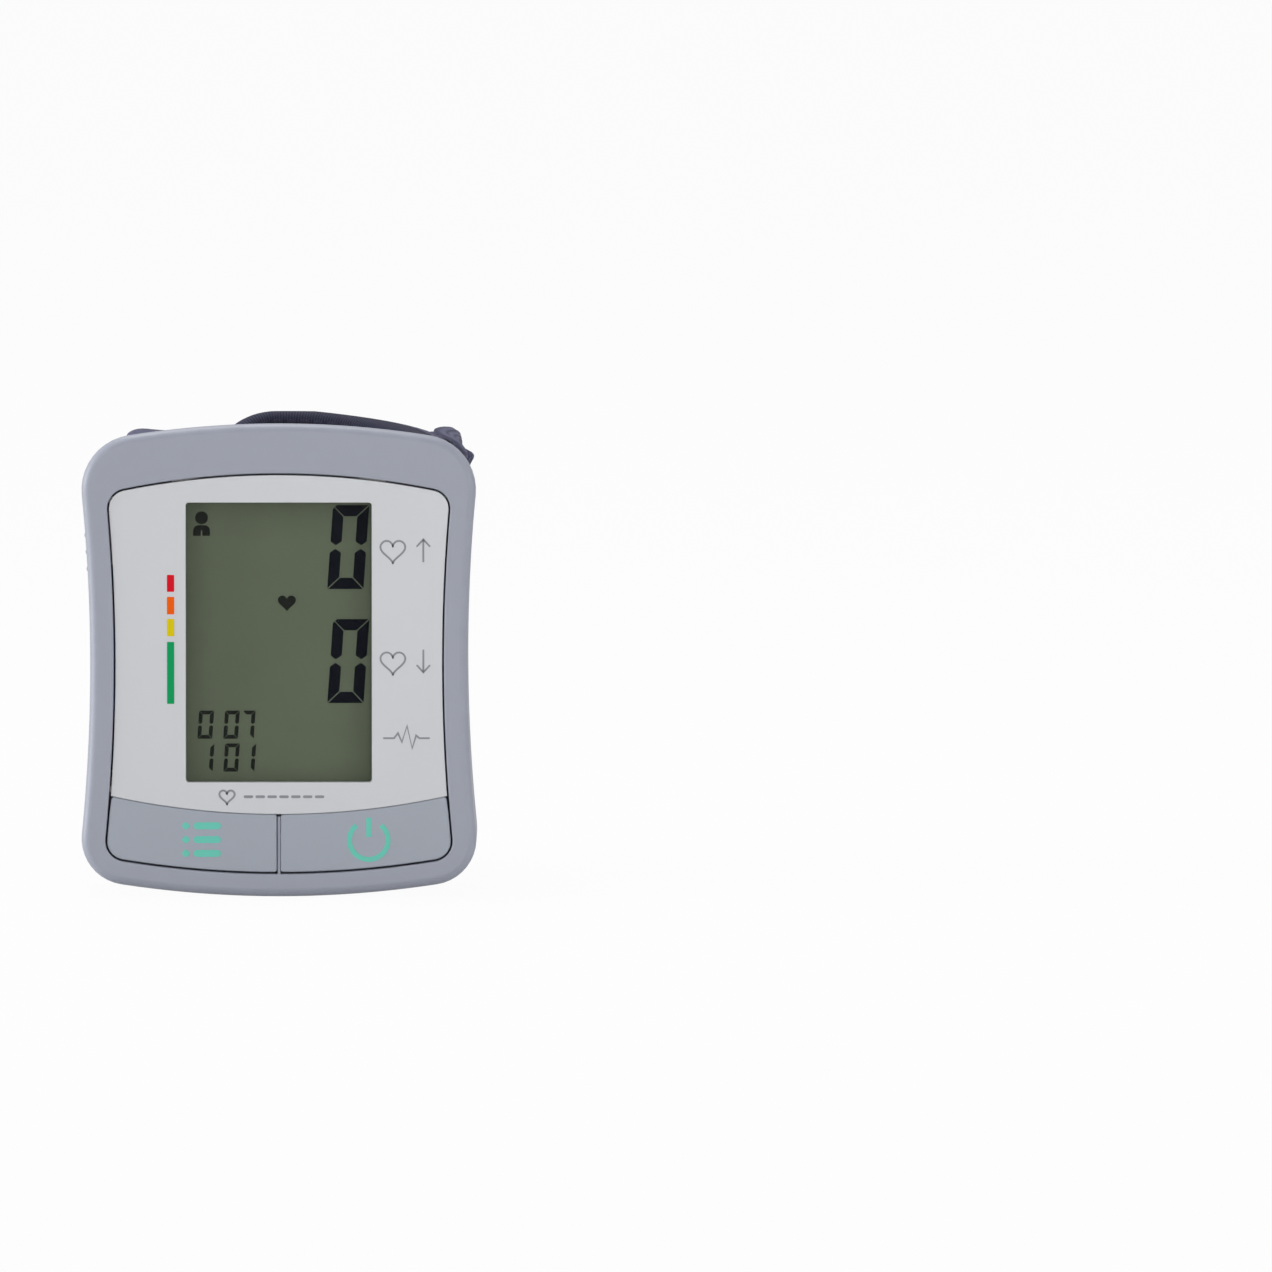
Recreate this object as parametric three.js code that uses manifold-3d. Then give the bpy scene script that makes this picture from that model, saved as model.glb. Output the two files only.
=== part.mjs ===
// Wrist blood pressure monitor: a waisted case with a display and two keys, on a cuff that wraps the wrist.
// Millimetres, Z up, the face looks along -Y. In the assembly Y counts from the front of the bezel backwards.
import * as THREE from "three";
import { mergeVertices } from "three/addons/utils/BufferGeometryUtils.js";
import Module from "manifold-3d";

// Clearances
const FIT = 0.3; // between pieces that seat in one another
const LAYER_GAP = 0.2; // between the layers of the cuff

// Case
const BODY_HEIGHT = 84;
const WAIST_WIDTH = 66.85;
const WAIST_HEIGHT = 41.5;
const SIDE_RADIUS = 305;
const CROWN_RADIUS = 170;
const BASE_RADIUS = 185;
const CROWN_CORNER = 9.8;
const BASE_CORNER = 8.2;
const EDGE_ROUND = 1.6;
const CROWN_SLOPE = 0.08; // fall of the top of the case towards the back
const CASE_WALL = 2.2;
const PARTING_DEPTH = 13;
const BODY_DEPTH = 24.5; // front of the bezel to the middle of the hollow back
const BACK_RADIUS = 68;
const BACK_EDGE_DEPTH = 7; // how far the back edges reach behind the middle

// Pocket in the bezel that takes the plate and the keys
const POCKET_WAIST = 58.45;
const POCKET_SIDE_RADIUS = 325;
const POCKET_TOP_BAND = 8.8;
const POCKET_BOTTOM_BAND = 4.1;
const POCKET_TOP_RADIUS = 139;
const POCKET_BOTTOM_RADIUS = 171;
const POCKET_CORNER = 3.6;
const PLATE_RECESS = 0.3;
const PLATE_THICKNESS = 1.6;
const SHELF_THICKNESS = 1.2;
const KEY_LINE_HEIGHT = 14.7; // middle of the arc between the plate and the keys
const KEY_LINE_RADIUS = 139;

// Keys
const KEY_RECESS = 0.4;
const KEY_RIB = 0.55; // rib of the bezel between the two keys
const KEY_FLANGE = 0.7;
const KEY_FLANGE_THICKNESS = 0.9;
const KEY_TRAVEL = 0.8;
const KEY_STEM_X = 14.8;
const KEY_STEM_HEIGHT = 10;
const KEY_STEM_RADIUS = 2;
const SWITCH_SIDE = 6;
const SWITCH_HEIGHT = 1.6;
const PLUNGER_RADIUS = 1.3;
const PLUNGER_LENGTH = 2;

// Display
const APERTURE_WIDTH = 32.9;
const APERTURE_TOP_BAND = 5.2; // plate above the display
const APERTURE_LOW_BAND = 5.7; // plate between the display and the key line
const WINDOW_MARGIN = 1.5;
const WINDOW_THICKNESS = 0.9;
const LCD_SIDE_MARGIN = 1.4;
const LCD_END_MARGIN = 3;
const LCD_THICKNESS = 2.8;
const HOLDER_WALL = 0.8;
const HOLDER_LEDGE = 2;
const STRIP_HEIGHT = 1.6;
const STRIP_WIDTH = 1.6;

// Main board
const BOARD_THICKNESS = 1.2;
const BOARD_LEFT = 17;
const BOARD_RIGHT = 23.6;
const BOARD_BOTTOM = 5.6;
const BOARD_TOP_ROOM = 12; // from the top of the case
const BOARD_SCREW_X = 21.3;
const BOARD_SCREW_LOW = 24;
const BOARD_SCREW_INSET = 6; // upper board screw under the top of the board
const BOARD_BOSS_RADIUS = 1.9;
const BOARD_SCREW_RADIUS = 0.8;

// Case screws
const CASE_SCREW_RADIUS = 1.1;
const CASE_SCREW_HEAD = 2.3;
const CASE_SCREW_HEAD_HEIGHT = 1.8;
const CASE_SCREW_LENGTH = 12;
const CASE_BOSS_RADIUS = 2.6;
const CASE_BOSS_INSET = 8; // from the waist line to the screw line
const CASE_BOSS_TOP_INSET = 8.8;
const CASE_BOSS_LOW = 8.4;
const CASE_BOSS_LOW_SPREAD = 1.6; // lower screws stand wider than the upper ones
const CASE_SEAT_DEPTH = 7; // screw seat behind the parting line

// Battery bay on the left
const CELL_RADIUS = 5.25;
const CELL_NUB_RADIUS = 1.9;
const CELL_NUB_HEIGHT = 0.8;
const TRAY_WALL = 1;
const CONTACT_THICKNESS = 0.5;
const SPRING_LENGTH = 4.6;
const SPRING_WIRE = 0.6;
const SPRING_TURNS = 3.5;
const BAY_TOP_ROOM = 14.15; // bay under the top of the case; this gives the cells their 44.5
const BAY_LOW_ROOM = 4.65; // bay above the key line
const DOOR_THICKNESS = 2;
const DOOR_END_INSET = 1.25; // door shorter than the bay at each end
const DOOR_GRIP_DROP = 8;
const DOOR_GRIP_PITCH = 3;
const DOOR_GRIP_INSET = 5;
const DOOR_GRIP_RADIUS = 0.7;
const DOOR_MARGIN = 0.8; // from the front of the cells to the edge of the door

// Pump on the right
const PUMP_X = 20.5;
const PUMP_BASE = 15.2;
const MOTOR_RADIUS = 6.1;
const HEAD_RADIUS = 6.6;
const HEAD_LENGTH = 12.6;
const HEAD_WALL = 1.2;
const HEAD_TOP = 4.6;
const ECCENTRIC_RADIUS = 3.4;
const ECCENTRIC_THROW = 0.9;
const SHAFT_RADIUS = 0.75;
const DIAPHRAGM_THICKNESS = 1.2;
const LEAD_RADIUS = 0.55;
const LEAD_SPREAD = 2.4;
const LEAD_DROP = 6;
const LEAD_BEND = 3.4;
const PUMP_ROOM = 1.8; // between the board and the pump head
const PUMP_TUBE_RISE = 10.6; // top of the pump to the manifold

// Air path
const NOZZLE_RADIUS = 1.1;
const NOZZLE_LENGTH = 4;
const TUBE_BORE = 1.4;
const TUBE_RADIUS = 1.9;
const MANIFOLD_X = 4;
const MANIFOLD_TOP_ROOM = 30; // from the top of the case
const MANIFOLD_ROOM = 5.1; // its middle behind the board
const MANIFOLD_SIDE = 7;
const MANIFOLD_DEPTH = 6;
const VALVE_SIDE = 8;
const VALVE_LENGTH = 12;
const VALVE_DROP = 31; // foot of the valve under the manifold
const VALVE_TRAVEL = 0.8;
const VALVE_PLUNGER_RADIUS = 1.8;
const SENSOR_SIDE = 8;
const SENSOR_HEIGHT = 4.6;
const SENSOR_X = -9;
const SENSOR_RISE = 12; // above the manifold
const PORT_RADIUS = 2;
const PORT_NOSE = 1.7;
const PUMP_TUBE_BEND = 3.6;
const SENSOR_TUBE_BEND = 3.2;
const TUBE_SPARE = 0.4; // straight hose past the end of a nozzle
const CHIP_SIDE = 9;
const CHIP_HEIGHT = 1.4;
const CHIP_DROP = 10; // under the manifold
const CHIP_X = -7;
const BUZZER_RADIUS = 6;
const BUZZER_HEIGHT = 2.2;
const BUZZER_DROP = 15; // under the chip
const BUZZER_X = -8;

// Cuff
const PLATE_WALL = 1.4; // cuff plate
const PLATE_REACH = 14.5;
const PLATE_END_INSET = 8;
const PEG_RADIUS = 1.2;
const PEG_INSET = 6;
const PEG_LENGTH = 1.6;
const CUFF_HEIGHT = 80.6;
const COVER_THICKNESS = 0.9;
const STIFFENER_THICKNESS = 0.8;
const BLADDER_THICKNESS = 1.6;
const LINER_THICKNESS = 0.9;
const LINER_CROWN = 0.8;
const LOOP_HALF_WIDTH = 24;
const LOOP_CORNER = 12;
const LOOP_DEPTH = 50;
const CUFF_LEFT_REACH = 26.2; // along the loop from the middle of the back
const FLAP_OVERLAP = 11.5; // how far the flap passes the far middle
const FLAP_END_ROUND = 10;
const BINDING_THICKNESS = 0.55;
const BINDING_DEPTH = 2.6;
const BLADDER_INSET = 6;
const PATCH_INSET = 9;
const PATCH_CORNER = 3;
const LOOP_PATCH_THICKNESS = 0.6;
const LOOP_PATCH_START = 2; // past the corner of the loop
const LOOP_PATCH_END = 8; // before the end of the flap
const LOOP_PATCH_ROUND = 6;
const LOOP_PATCH_MARGIN = 1;
const HOOK_PATCH_THICKNESS = 0.8;
const HOOK_PATCH_LENGTH = 34;
const HOOK_PATCH_END = 2; // before the loose end
const STRAP_THICKNESS = 2;
const STRAP_LOW = 3.2;
const STRAP_TOP_INSET = 3.8;
const STRAP_RISE = 4.2; // how far the loose end is set higher than the root
const STRAP_ROOT_START = 20.4;
const STRAP_ROOT_FOLD = 28;
const STRAP_END_FOLD = 62; // along the loop from the middle of the back, on the left
const STRAP_RISE_START = 92; // along the strap, where it begins to climb
const STRAP_END_REACH = 8; // loose end past the side of the loop
const STRAP_END_FLARE = 2.8; // how far the upper corner of the loose end stands out
const STRAP_FLARE_LOW = 54; // height from which it turns outwards
const STRAP_SWELL = 0.02;
const STRAP_END_ROUND = 9;

// Places that follow from the sizes above
const apertureLow = KEY_LINE_HEIGHT + APERTURE_LOW_BAND;
const apertureHigh = BODY_HEIGHT - POCKET_TOP_BAND - APERTURE_TOP_BAND;
const boardTop = BODY_HEIGHT - BOARD_TOP_ROOM;
const boardScrewHigh = boardTop - BOARD_SCREW_INSET;
const manifoldHeight = BODY_HEIGHT - MANIFOLD_TOP_ROOM;
const motorLength = manifoldHeight - PUMP_TUBE_RISE - HEAD_LENGTH - PUMP_BASE;
const valveBase = manifoldHeight - VALVE_DROP;
const sensorCentre = manifoldHeight + SENSOR_RISE;
const chipCentre = manifoldHeight - CHIP_DROP;
const buzzerCentre = chipCentre - BUZZER_DROP;
const strapHigh = CUFF_HEIGHT - STRAP_TOP_INSET;
const plateBack = PLATE_RECESS + PLATE_THICKNESS;
const shelfFront = plateBack + FIT;
const frontWallBack = shelfFront + SHELF_THICKNESS;
const lcdFront = frontWallBack + FIT;
const lcdBack = lcdFront + LCD_THICKNESS;
const boardFront = lcdBack + STRIP_HEIGHT + 2 * FIT;
const boardBack = boardFront + BOARD_THICKNESS;
const backCentre = BODY_DEPTH + BACK_RADIUS;
const plateOffset = FIT + PLATE_WALL + FIT;
const coverInner = LINER_THICKNESS + BLADDER_THICKNESS + STIFFENER_THICKNESS + 3 * LAYER_GAP;
const cuffThickness = coverInner + COVER_THICKNESS;
const loopFront = BODY_DEPTH + plateOffset + cuffThickness;
const loopPatchOffset = cuffThickness + LAYER_GAP;
const hookPatchOffset = loopPatchOffset + LOOP_PATCH_THICKNESS + LAYER_GAP;
const strapOffset = hookPatchOffset + HOOK_PATCH_THICKNESS + LAYER_GAP;
const strapRootOffset = cuffThickness + FIT;
const overallDepth = loopFront + LOOP_DEPTH + strapOffset + STRAP_THICKNESS;
const holderHalf = APERTURE_WIDTH / 2 + LCD_SIDE_MARGIN + FIT + HOLDER_WALL;
const trayRight = -(holderHalf + FIT);
const cellX = trayRight - TRAY_WALL - FIT - CELL_RADIUS;
const frontCellDepth = frontWallBack + FIT + CELL_RADIUS;
const rearCellDepth = frontCellDepth + 2 * CELL_RADIUS + FIT;
const bayLow = KEY_LINE_HEIGHT + BAY_LOW_ROOM;
const bayHigh = BODY_HEIGHT - BAY_TOP_ROOM;
const cellLength = bayHigh - bayLow - SPRING_LENGTH - CONTACT_THICKNESS - 3 * FIT;
const pumpDepth = boardBack + HEAD_RADIUS + PUMP_ROOM;
const manifoldDepth = boardBack + MANIFOLD_ROOM;

const wasm = await Module();
wasm.setup();

// Turns a closed three.js geometry into a solid that can be joined and cut
function solid(geometry) {
  const bare = geometry.clone();
  for (const name of Object.keys(bare.attributes)) {
    if (name !== "position") bare.deleteAttribute(name);
  }
  const merged = mergeVertices(bare, 1e-4);
  const vertProperties = new Float32Array(merged.attributes.position.array);
  const triVerts = new Uint32Array(merged.index.array);
  const made = new wasm.Manifold(new wasm.Mesh({ numProp: 3, vertProperties, triVerts }));
  if (made.volume() > 0) return made;
  for (let i = 0; i < triVerts.length; i += 3) {
    const held = triVerts[i];
    triVerts[i] = triVerts[i + 1];
    triVerts[i + 1] = held;
  }
  return new wasm.Manifold(new wasm.Mesh({ numProp: 3, vertProperties, triVerts }));
}

function geometryOf(made) {
  const mesh = made.getMesh();
  const geometry = new THREE.BufferGeometry();
  const positions = new Float32Array(mesh.numVert * 3);
  for (let i = 0; i < mesh.numVert; i += 1) {
    for (let k = 0; k < 3; k += 1) positions[i * 3 + k] = mesh.vertProperties[i * mesh.numProp + k];
  }
  geometry.setAttribute("position", new THREE.BufferAttribute(positions, 3));
  geometry.setIndex(new THREE.BufferAttribute(new Uint32Array(mesh.triVerts), 1));
  geometry.computeVertexNormals();
  return geometry;
}

const join = (...solids) => wasm.Manifold.union(solids);
const cut = (whole, ...tools) => wasm.Manifold.difference([whole, ...tools]);
const common = (...solids) => wasm.Manifold.intersection(solids);

// A box between two corners
function block(x0, y0, z0, x1, y1, z1) {
  const geometry = new THREE.BoxGeometry(x1 - x0, y1 - y0, z1 - z0);
  geometry.translate((x0 + x1) / 2, (y0 + y1) / 2, (z0 + z1) / 2);
  return solid(geometry);
}

// A cylinder or cone between two points
function rod(radius, from, to, sides = 20, endRadius = radius) {
  const start = new THREE.Vector3(...from);
  const axis = new THREE.Vector3(...to).sub(start);
  const geometry = new THREE.CylinderGeometry(endRadius, radius, axis.length(), sides);
  geometry.translate(0, axis.length() / 2, 0);
  const upright = new THREE.Vector3(0, 1, 0);
  geometry.applyQuaternion(new THREE.Quaternion().setFromUnitVectors(upright, axis.normalize()));
  geometry.translate(start.x, start.y, start.z);
  return solid(geometry);
}

// An outline in the face plane, run from one depth to another
function prism(outline, near, far) {
  const shape = new THREE.Shape(outline.map(([x, z]) => new THREE.Vector2(x, z)));
  const geometry = new THREE.ExtrudeGeometry(shape, { depth: far - near, bevelEnabled: false });
  geometry.rotateX(Math.PI / 2);
  geometry.translate(0, far, 0);
  return solid(geometry);
}

// Closed rings of the same count, skinned one to the next and capped with the flat section's own triangles
function loft(rings, section) {
  const count = section.length;
  const positions = rings.flat(2);
  const index = [];
  for (let r = 0; r + 1 < rings.length; r += 1) {
    for (let i = 0; i < count; i += 1) {
      const a = r * count + i;
      const b = r * count + ((i + 1) % count);
      index.push(a, b, a + count, b, b + count, a + count);
    }
  }
  const last = (rings.length - 1) * count;
  const flat = section.map(([u, v]) => new THREE.Vector2(u, v));
  const turned = THREE.ShapeUtils.area(flat) < 0;
  for (const face of THREE.ShapeUtils.triangulateShape(flat, [])) {
    const [a, b, c] = turned ? [face[0], face[2], face[1]] : face;
    index.push(a, c, b, last + a, last + b, last + c);
  }
  const geometry = new THREE.BufferGeometry();
  geometry.setAttribute("position", new THREE.Float32BufferAttribute(positions, 3));
  geometry.setIndex(index);
  return solid(geometry);
}

function arcPoints(centre, radius, from, to, count, first = 0) {
  const points = [];
  for (let i = first; i <= count; i += 1) {
    const angle = from + ((to - from) * i) / count;
    points.push([centre[0] + radius * Math.cos(angle), centre[1] + radius * Math.sin(angle)]);
  }
  return points;
}

// Centre of a corner arc that touches a bulged edge from inside and a drawn-in side
function cornerCentre(edge, side, radius, upper) {
  const reach = edge.radius - radius;
  const span = side.radius + radius;
  const dx = side.x - edge.x;
  const dz = side.z - edge.z;
  const distance = Math.hypot(dx, dz);
  const along = (reach * reach - span * span + distance * distance) / (2 * distance);
  const across = Math.sqrt(reach * reach - along * along);
  const turn = upper ? 1 : -1;
  return [
    edge.x + (along * dx - turn * across * dz) / distance,
    edge.z + (along * dz + turn * across * dx) / distance,
  ];
}

// Outline with a bulged top and bottom and sides drawn in at the waist; an inset moves every arc inwards
function waisted(form, inset = 0) {
  const side = { x: form.waist / 2 + form.sideRadius, z: form.waistHeight, radius: form.sideRadius + inset };
  const crown = { x: 0, z: form.top - form.topRadius, radius: form.topRadius - inset };
  const base = { x: 0, z: form.bottom + form.bottomRadius, radius: form.bottomRadius - inset };
  const lowRound = Math.max(form.lowCorner - inset, 0.4);
  const highRound = Math.max(form.highCorner - inset, 0.4);
  const low = cornerCentre(base, side, lowRound, false);
  const high = cornerCentre(crown, side, highRound, true);
  const lowStart = Math.atan2(low[1] - base.z, low[0] - base.x);
  const lowEnd = Math.atan2(side.z - low[1], side.x - low[0]);
  const highStart = Math.atan2(side.z - high[1], side.x - high[0]);
  const highEnd = Math.atan2(high[1] - crown.z, high[0] - crown.x);
  const half = [];
  const baseSteps = 3.5;
  for (let i = 0.5; i <= baseSteps; i += 1) {
    const angle = -Math.PI / 2 + ((lowStart + Math.PI / 2) * i) / baseSteps;
    half.push([base.x + base.radius * Math.cos(angle), base.z + base.radius * Math.sin(angle)]);
  }
  half.push(...arcPoints(low, lowRound, lowStart, lowEnd, 5, 1));
  const sideFrom = Math.atan2(low[1] - side.z, low[0] - side.x) + (low[1] < side.z ? 2 * Math.PI : 0);
  const sideTo = Math.atan2(high[1] - side.z, high[0] - side.x);
  half.push(...arcPoints([side.x, side.z], side.radius, sideFrom, sideTo, 6, 1));
  half.push(...arcPoints(high, highRound, highStart, highEnd, 5, 1));
  for (let i = 1; i < 4; i += 1) {
    const angle = highEnd + ((Math.PI / 2 - highEnd) * i) / 3.5;
    half.push([crown.x + crown.radius * Math.cos(angle), crown.z + crown.radius * Math.sin(angle)]);
  }
  return [...half, ...half.map(([x, z]) => [-x, z]).reverse()];
}

const bodyForm = {
  waist: WAIST_WIDTH, waistHeight: WAIST_HEIGHT, sideRadius: SIDE_RADIUS,
  top: BODY_HEIGHT, topRadius: CROWN_RADIUS, highCorner: CROWN_CORNER,
  bottom: 0, bottomRadius: BASE_RADIUS, lowCorner: BASE_CORNER,
};
const pocketForm = {
  waist: POCKET_WAIST, waistHeight: WAIST_HEIGHT, sideRadius: POCKET_SIDE_RADIUS,
  top: BODY_HEIGHT - POCKET_TOP_BAND, topRadius: POCKET_TOP_RADIUS, highCorner: POCKET_CORNER,
  bottom: POCKET_BOTTOM_BAND, bottomRadius: POCKET_BOTTOM_RADIUS, lowCorner: POCKET_CORNER,
};

// Half the width of the case between its corners
function sideHalf(z) {
  const rise = z - WAIST_HEIGHT;
  return WAIST_WIDTH / 2 + SIDE_RADIUS - Math.sqrt(SIDE_RADIUS * SIDE_RADIUS - rise * rise);
}

// Rings of the body outline at [depth, inset] pairs
function bodyLoft(levels) {
  const rings = levels.map(([depth, inset]) => {
    const top = BODY_HEIGHT - CROWN_SLOPE * Math.max(0, depth - EDGE_ROUND);
    return waisted({ ...bodyForm, top }, inset).map(([x, z]) => [x, depth, z]);
  });
  return loft(rings, waisted(bodyForm, levels[0][1]));
}

function backCylinder(radius) {
  return rod(radius, [0, backCentre, -BODY_HEIGHT], [0, backCentre, 2 * BODY_HEIGHT], 96);
}

// Rounded rectangle in the face plane
function roundedRect(halfWidth, low, high, radius) {
  const x = halfWidth - radius;
  return [
    ...arcPoints([x, low + radius], radius, -Math.PI / 2, 0, 4),
    ...arcPoints([x, high - radius], radius, 0, Math.PI / 2, 4),
    ...arcPoints([-x, high - radius], radius, Math.PI / 2, Math.PI, 4),
    ...arcPoints([-x, low + radius], radius, Math.PI, 1.5 * Math.PI, 4),
  ];
}

// A disc in the face plane whose lower arc parts the plate from the keys
function keyLineDisc(grow) {
  const centre = KEY_LINE_HEIGHT + KEY_LINE_RADIUS;
  return rod(KEY_LINE_RADIUS + grow, [0, -5, centre], [0, 20, centre], 160);
}

const bossX = WAIST_WIDTH / 2 - CASE_BOSS_INSET;
const bossHigh = BODY_HEIGHT - CASE_BOSS_TOP_INSET;
const screwPlaces = [
  [-bossX, bossHigh], [bossX, bossHigh],
  [-bossX - CASE_BOSS_LOW_SPREAD, CASE_BOSS_LOW], [bossX + CASE_BOSS_LOW_SPREAD, CASE_BOSS_LOW],
];
const doorLow = bayLow + DOOR_END_INSET;
const doorHigh = bayHigh - DOOR_END_INSET;
const doorNear = frontWallBack + FIT + DOOR_MARGIN;
const doorFar = rearCellDepth + CELL_RADIUS - DOOR_MARGIN;
const doorInner = -(WAIST_WIDTH / 2 - DOOR_THICKNESS - 4);

function doorOpening(grow) {
  return block(
    -WAIST_WIDTH, doorNear - grow, doorLow - grow, doorInner, doorFar + grow, doorHigh + grow,
  );
}

function frontCase() {
  const levels = [[PARTING_DEPTH, 0], [EDGE_ROUND, 0]];
  for (let i = 1; i <= 3; i += 1) {
    const angle = (i / 3) * (Math.PI / 2);
    levels.push([EDGE_ROUND * (1 - Math.sin(angle)), EDGE_ROUND * (1 - Math.cos(angle))]);
  }
  const shell = cut(
    bodyLoft(levels),
    bodyLoft([[PARTING_DEPTH + 1, CASE_WALL], [frontWallBack, CASE_WALL]]),
  );
  const added = [shell];
  const removed = [prism(waisted(pocketForm), -1, shelfFront)];
  for (const [x, z] of screwPlaces) {
    const low = z < BODY_HEIGHT / 2;
    const start = low ? boardFront - 1.4 : frontWallBack - 0.4;
    added.push(rod(CASE_BOSS_RADIUS, [x, start, z], [x, PARTING_DEPTH, z], 12));
    if (low) {
      const reach = Math.sign(x) * (sideHalf(z) - CASE_WALL * 0.6);
      added.push(block(Math.min(x, reach), start, z - 0.8, Math.max(x, reach), PARTING_DEPTH, z + 0.8));
    }
    removed.push(rod(CASE_SCREW_RADIUS + FIT, [x, start + 1.6, z], [x, PARTING_DEPTH + 1, z], 10));
  }
  for (const z of [BOARD_SCREW_LOW, boardScrewHigh]) {
    const x = BOARD_SCREW_X;
    added.push(rod(BOARD_BOSS_RADIUS, [x, frontWallBack - 0.4, z], [x, boardFront - FIT, z], 10));
    removed.push(rod(BOARD_SCREW_RADIUS + FIT, [x, frontWallBack + 0.6, z], [x, boardFront, z], 8));
  }
  // the window's seat, then the two key wells with the rib left between them
  const halfWindow = APERTURE_WIDTH / 2 + WINDOW_MARGIN + FIT;
  const windowGrow = WINDOW_MARGIN + FIT;
  const windowSeat = roundedRect(halfWindow, apertureLow - windowGrow, apertureHigh + windowGrow, 1);
  removed.push(prism(windowSeat, 0, frontWallBack + 1));
  const well = cut(prism(waisted(pocketForm), -1, frontWallBack + 0.5), keyLineDisc(0));
  removed.push(cut(well, block(-KEY_RIB / 2, -2, -5, KEY_RIB / 2, frontWallBack + 2, BODY_HEIGHT)));
  removed.push(doorOpening(FIT));
  const rib = block(
    -KEY_RIB / 2, KEY_RECESS + 0.5, POCKET_BOTTOM_BAND - 0.6,
    KEY_RIB / 2, frontWallBack, KEY_LINE_HEIGHT - FIT,
  );
  return join(cut(join(...added), ...removed), rib);
}

function rearCover() {
  const rear = BODY_DEPTH + BACK_EDGE_DEPTH;
  const start = PARTING_DEPTH + FIT;
  const levels = [[start, 0], [rear - 6.5, 0], [rear - 3.5, 0.9], [rear - 1.3, 2.8], [rear, 5.2]];
  const inner = levels.map(([depth, inset], i) => [i === 0 ? depth - 1 : depth, inset + CASE_WALL]);
  const hollow = cut(bodyLoft(inner), backCylinder(BACK_RADIUS + CASE_WALL));
  const added = [cut(bodyLoft(levels), backCylinder(BACK_RADIUS), hollow)];
  const removed = [doorOpening(FIT)];
  for (const [x, z] of screwPlaces) {
    const column = rod(CASE_BOSS_RADIUS + 0.5, [x, start, z], [x, rear, z], 12);
    added.push(cut(column, backCylinder(BACK_RADIUS + 0.4)));
    removed.push(rod(CASE_SCREW_RADIUS + FIT, [x, start - 1, z], [x, rear, z], 10));
    removed.push(rod(CASE_SCREW_HEAD + FIT, [x, PARTING_DEPTH + CASE_SEAT_DEPTH, z], [x, rear + 2, z], 12));
  }
  for (const [x, z] of pegPlaces()) {
    removed.push(rod(PEG_RADIUS + FIT, [x, BODY_DEPTH - 4, z], [x, BODY_DEPTH + 6, z], 10));
  }
  removed.push(portHole(PORT_RADIUS + FIT));
  return cut(join(...added), ...removed);
}

function pegPlaces() {
  const x = PLATE_REACH * 0.7;
  const low = PLATE_END_INSET + PEG_INSET;
  const high = CUFF_HEIGHT - low;
  return [[-x, low], [x, low], [-x, high], [x, high]];
}

function portHole(radius) {
  const far = loopFront - LINER_THICKNESS - 2 * LAYER_GAP;
  return rod(radius, [MANIFOLD_X, BODY_DEPTH - 5, manifoldHeight], [MANIFOLD_X, far, manifoldHeight], 12);
}

function facePlate() {
  const sheet = common(prism(waisted(pocketForm, FIT), PLATE_RECESS, plateBack), keyLineDisc(0));
  return cut(sheet, prism(roundedRect(APERTURE_WIDTH / 2, apertureLow, apertureHigh, 0.5), -1, 6));
}

function displayWindow() {
  const half = APERTURE_WIDTH / 2 + WINDOW_MARGIN;
  const outline = roundedRect(half, apertureLow - WINDOW_MARGIN, apertureHigh + WINDOW_MARGIN, 0.8);
  return prism(outline, shelfFront, shelfFront + WINDOW_THICKNESS);
}

// One key: cap in its well, a flange that holds it behind the bezel, and a stem that reaches its switch
function key(sideSign) {
  const inner = KEY_RIB / 2 + FIT;
  const wide = BODY_HEIGHT;
  const half = sideSign > 0
    ? block(inner, -2, -5, wide, 20, BODY_HEIGHT)
    : block(-wide, -2, -5, -inner, 20, BODY_HEIGHT);
  const flangeNear = frontWallBack + FIT;
  const flangeFar = flangeNear + KEY_FLANGE_THICKNESS;
  const cap = cut(prism(waisted(pocketForm, FIT), KEY_RECESS, flangeNear + 0.2), keyLineDisc(FIT));
  const flange = cut(
    prism(waisted(pocketForm, FIT - KEY_FLANGE), flangeNear, flangeFar),
    keyLineDisc(FIT - KEY_FLANGE),
    block(-wide, -2, lcdLow - HOLDER_WALL - 2 * FIT, wide, 20, BODY_HEIGHT),
  );
  const switchFront = boardFront - FIT - SWITCH_HEIGHT;
  const stemEnd = switchFront - KEY_TRAVEL - 2 * FIT + 0.1;
  const x = sideSign * KEY_STEM_X;
  const stem = rod(KEY_STEM_RADIUS, [x, flangeFar - 0.2, KEY_STEM_HEIGHT], [x, stemEnd, KEY_STEM_HEIGHT], 18);
  const hollow = prism(
    roundedRect(7, -2.2, 2.2, 0.6).map(([u, v]) => [x + u, v + KEY_STEM_HEIGHT]),
    KEY_RECESS + 1.4,
    flangeFar + 1,
  );
  const core = rod(KEY_STEM_RADIUS, [x, KEY_RECESS + 1, KEY_STEM_HEIGHT], [x, stemEnd, KEY_STEM_HEIGHT], 18);
  return join(cut(common(join(cap, flange), half), hollow), core, stem);
}

function keySwitch(sideSign) {
  const x = sideSign * KEY_STEM_X;
  const far = boardFront - FIT;
  const near = far - SWITCH_HEIGHT;
  const half = SWITCH_SIDE / 2;
  const housing = block(x - half, near, KEY_STEM_HEIGHT - half, x + half, far, KEY_STEM_HEIGHT + half);
  const hole = rod(PLUNGER_RADIUS + FIT, [x, near - 1, KEY_STEM_HEIGHT], [x, far - 0.4, KEY_STEM_HEIGHT], 18);
  return cut(housing, hole);
}

function switchPlunger(sideSign) {
  const x = sideSign * KEY_STEM_X;
  const near = boardFront - FIT - SWITCH_HEIGHT - KEY_TRAVEL - FIT + 0.1;
  const far = near + PLUNGER_LENGTH - 0.8;
  return rod(PLUNGER_RADIUS, [x, near, KEY_STEM_HEIGHT], [x, far, KEY_STEM_HEIGHT], 16);
}

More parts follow.
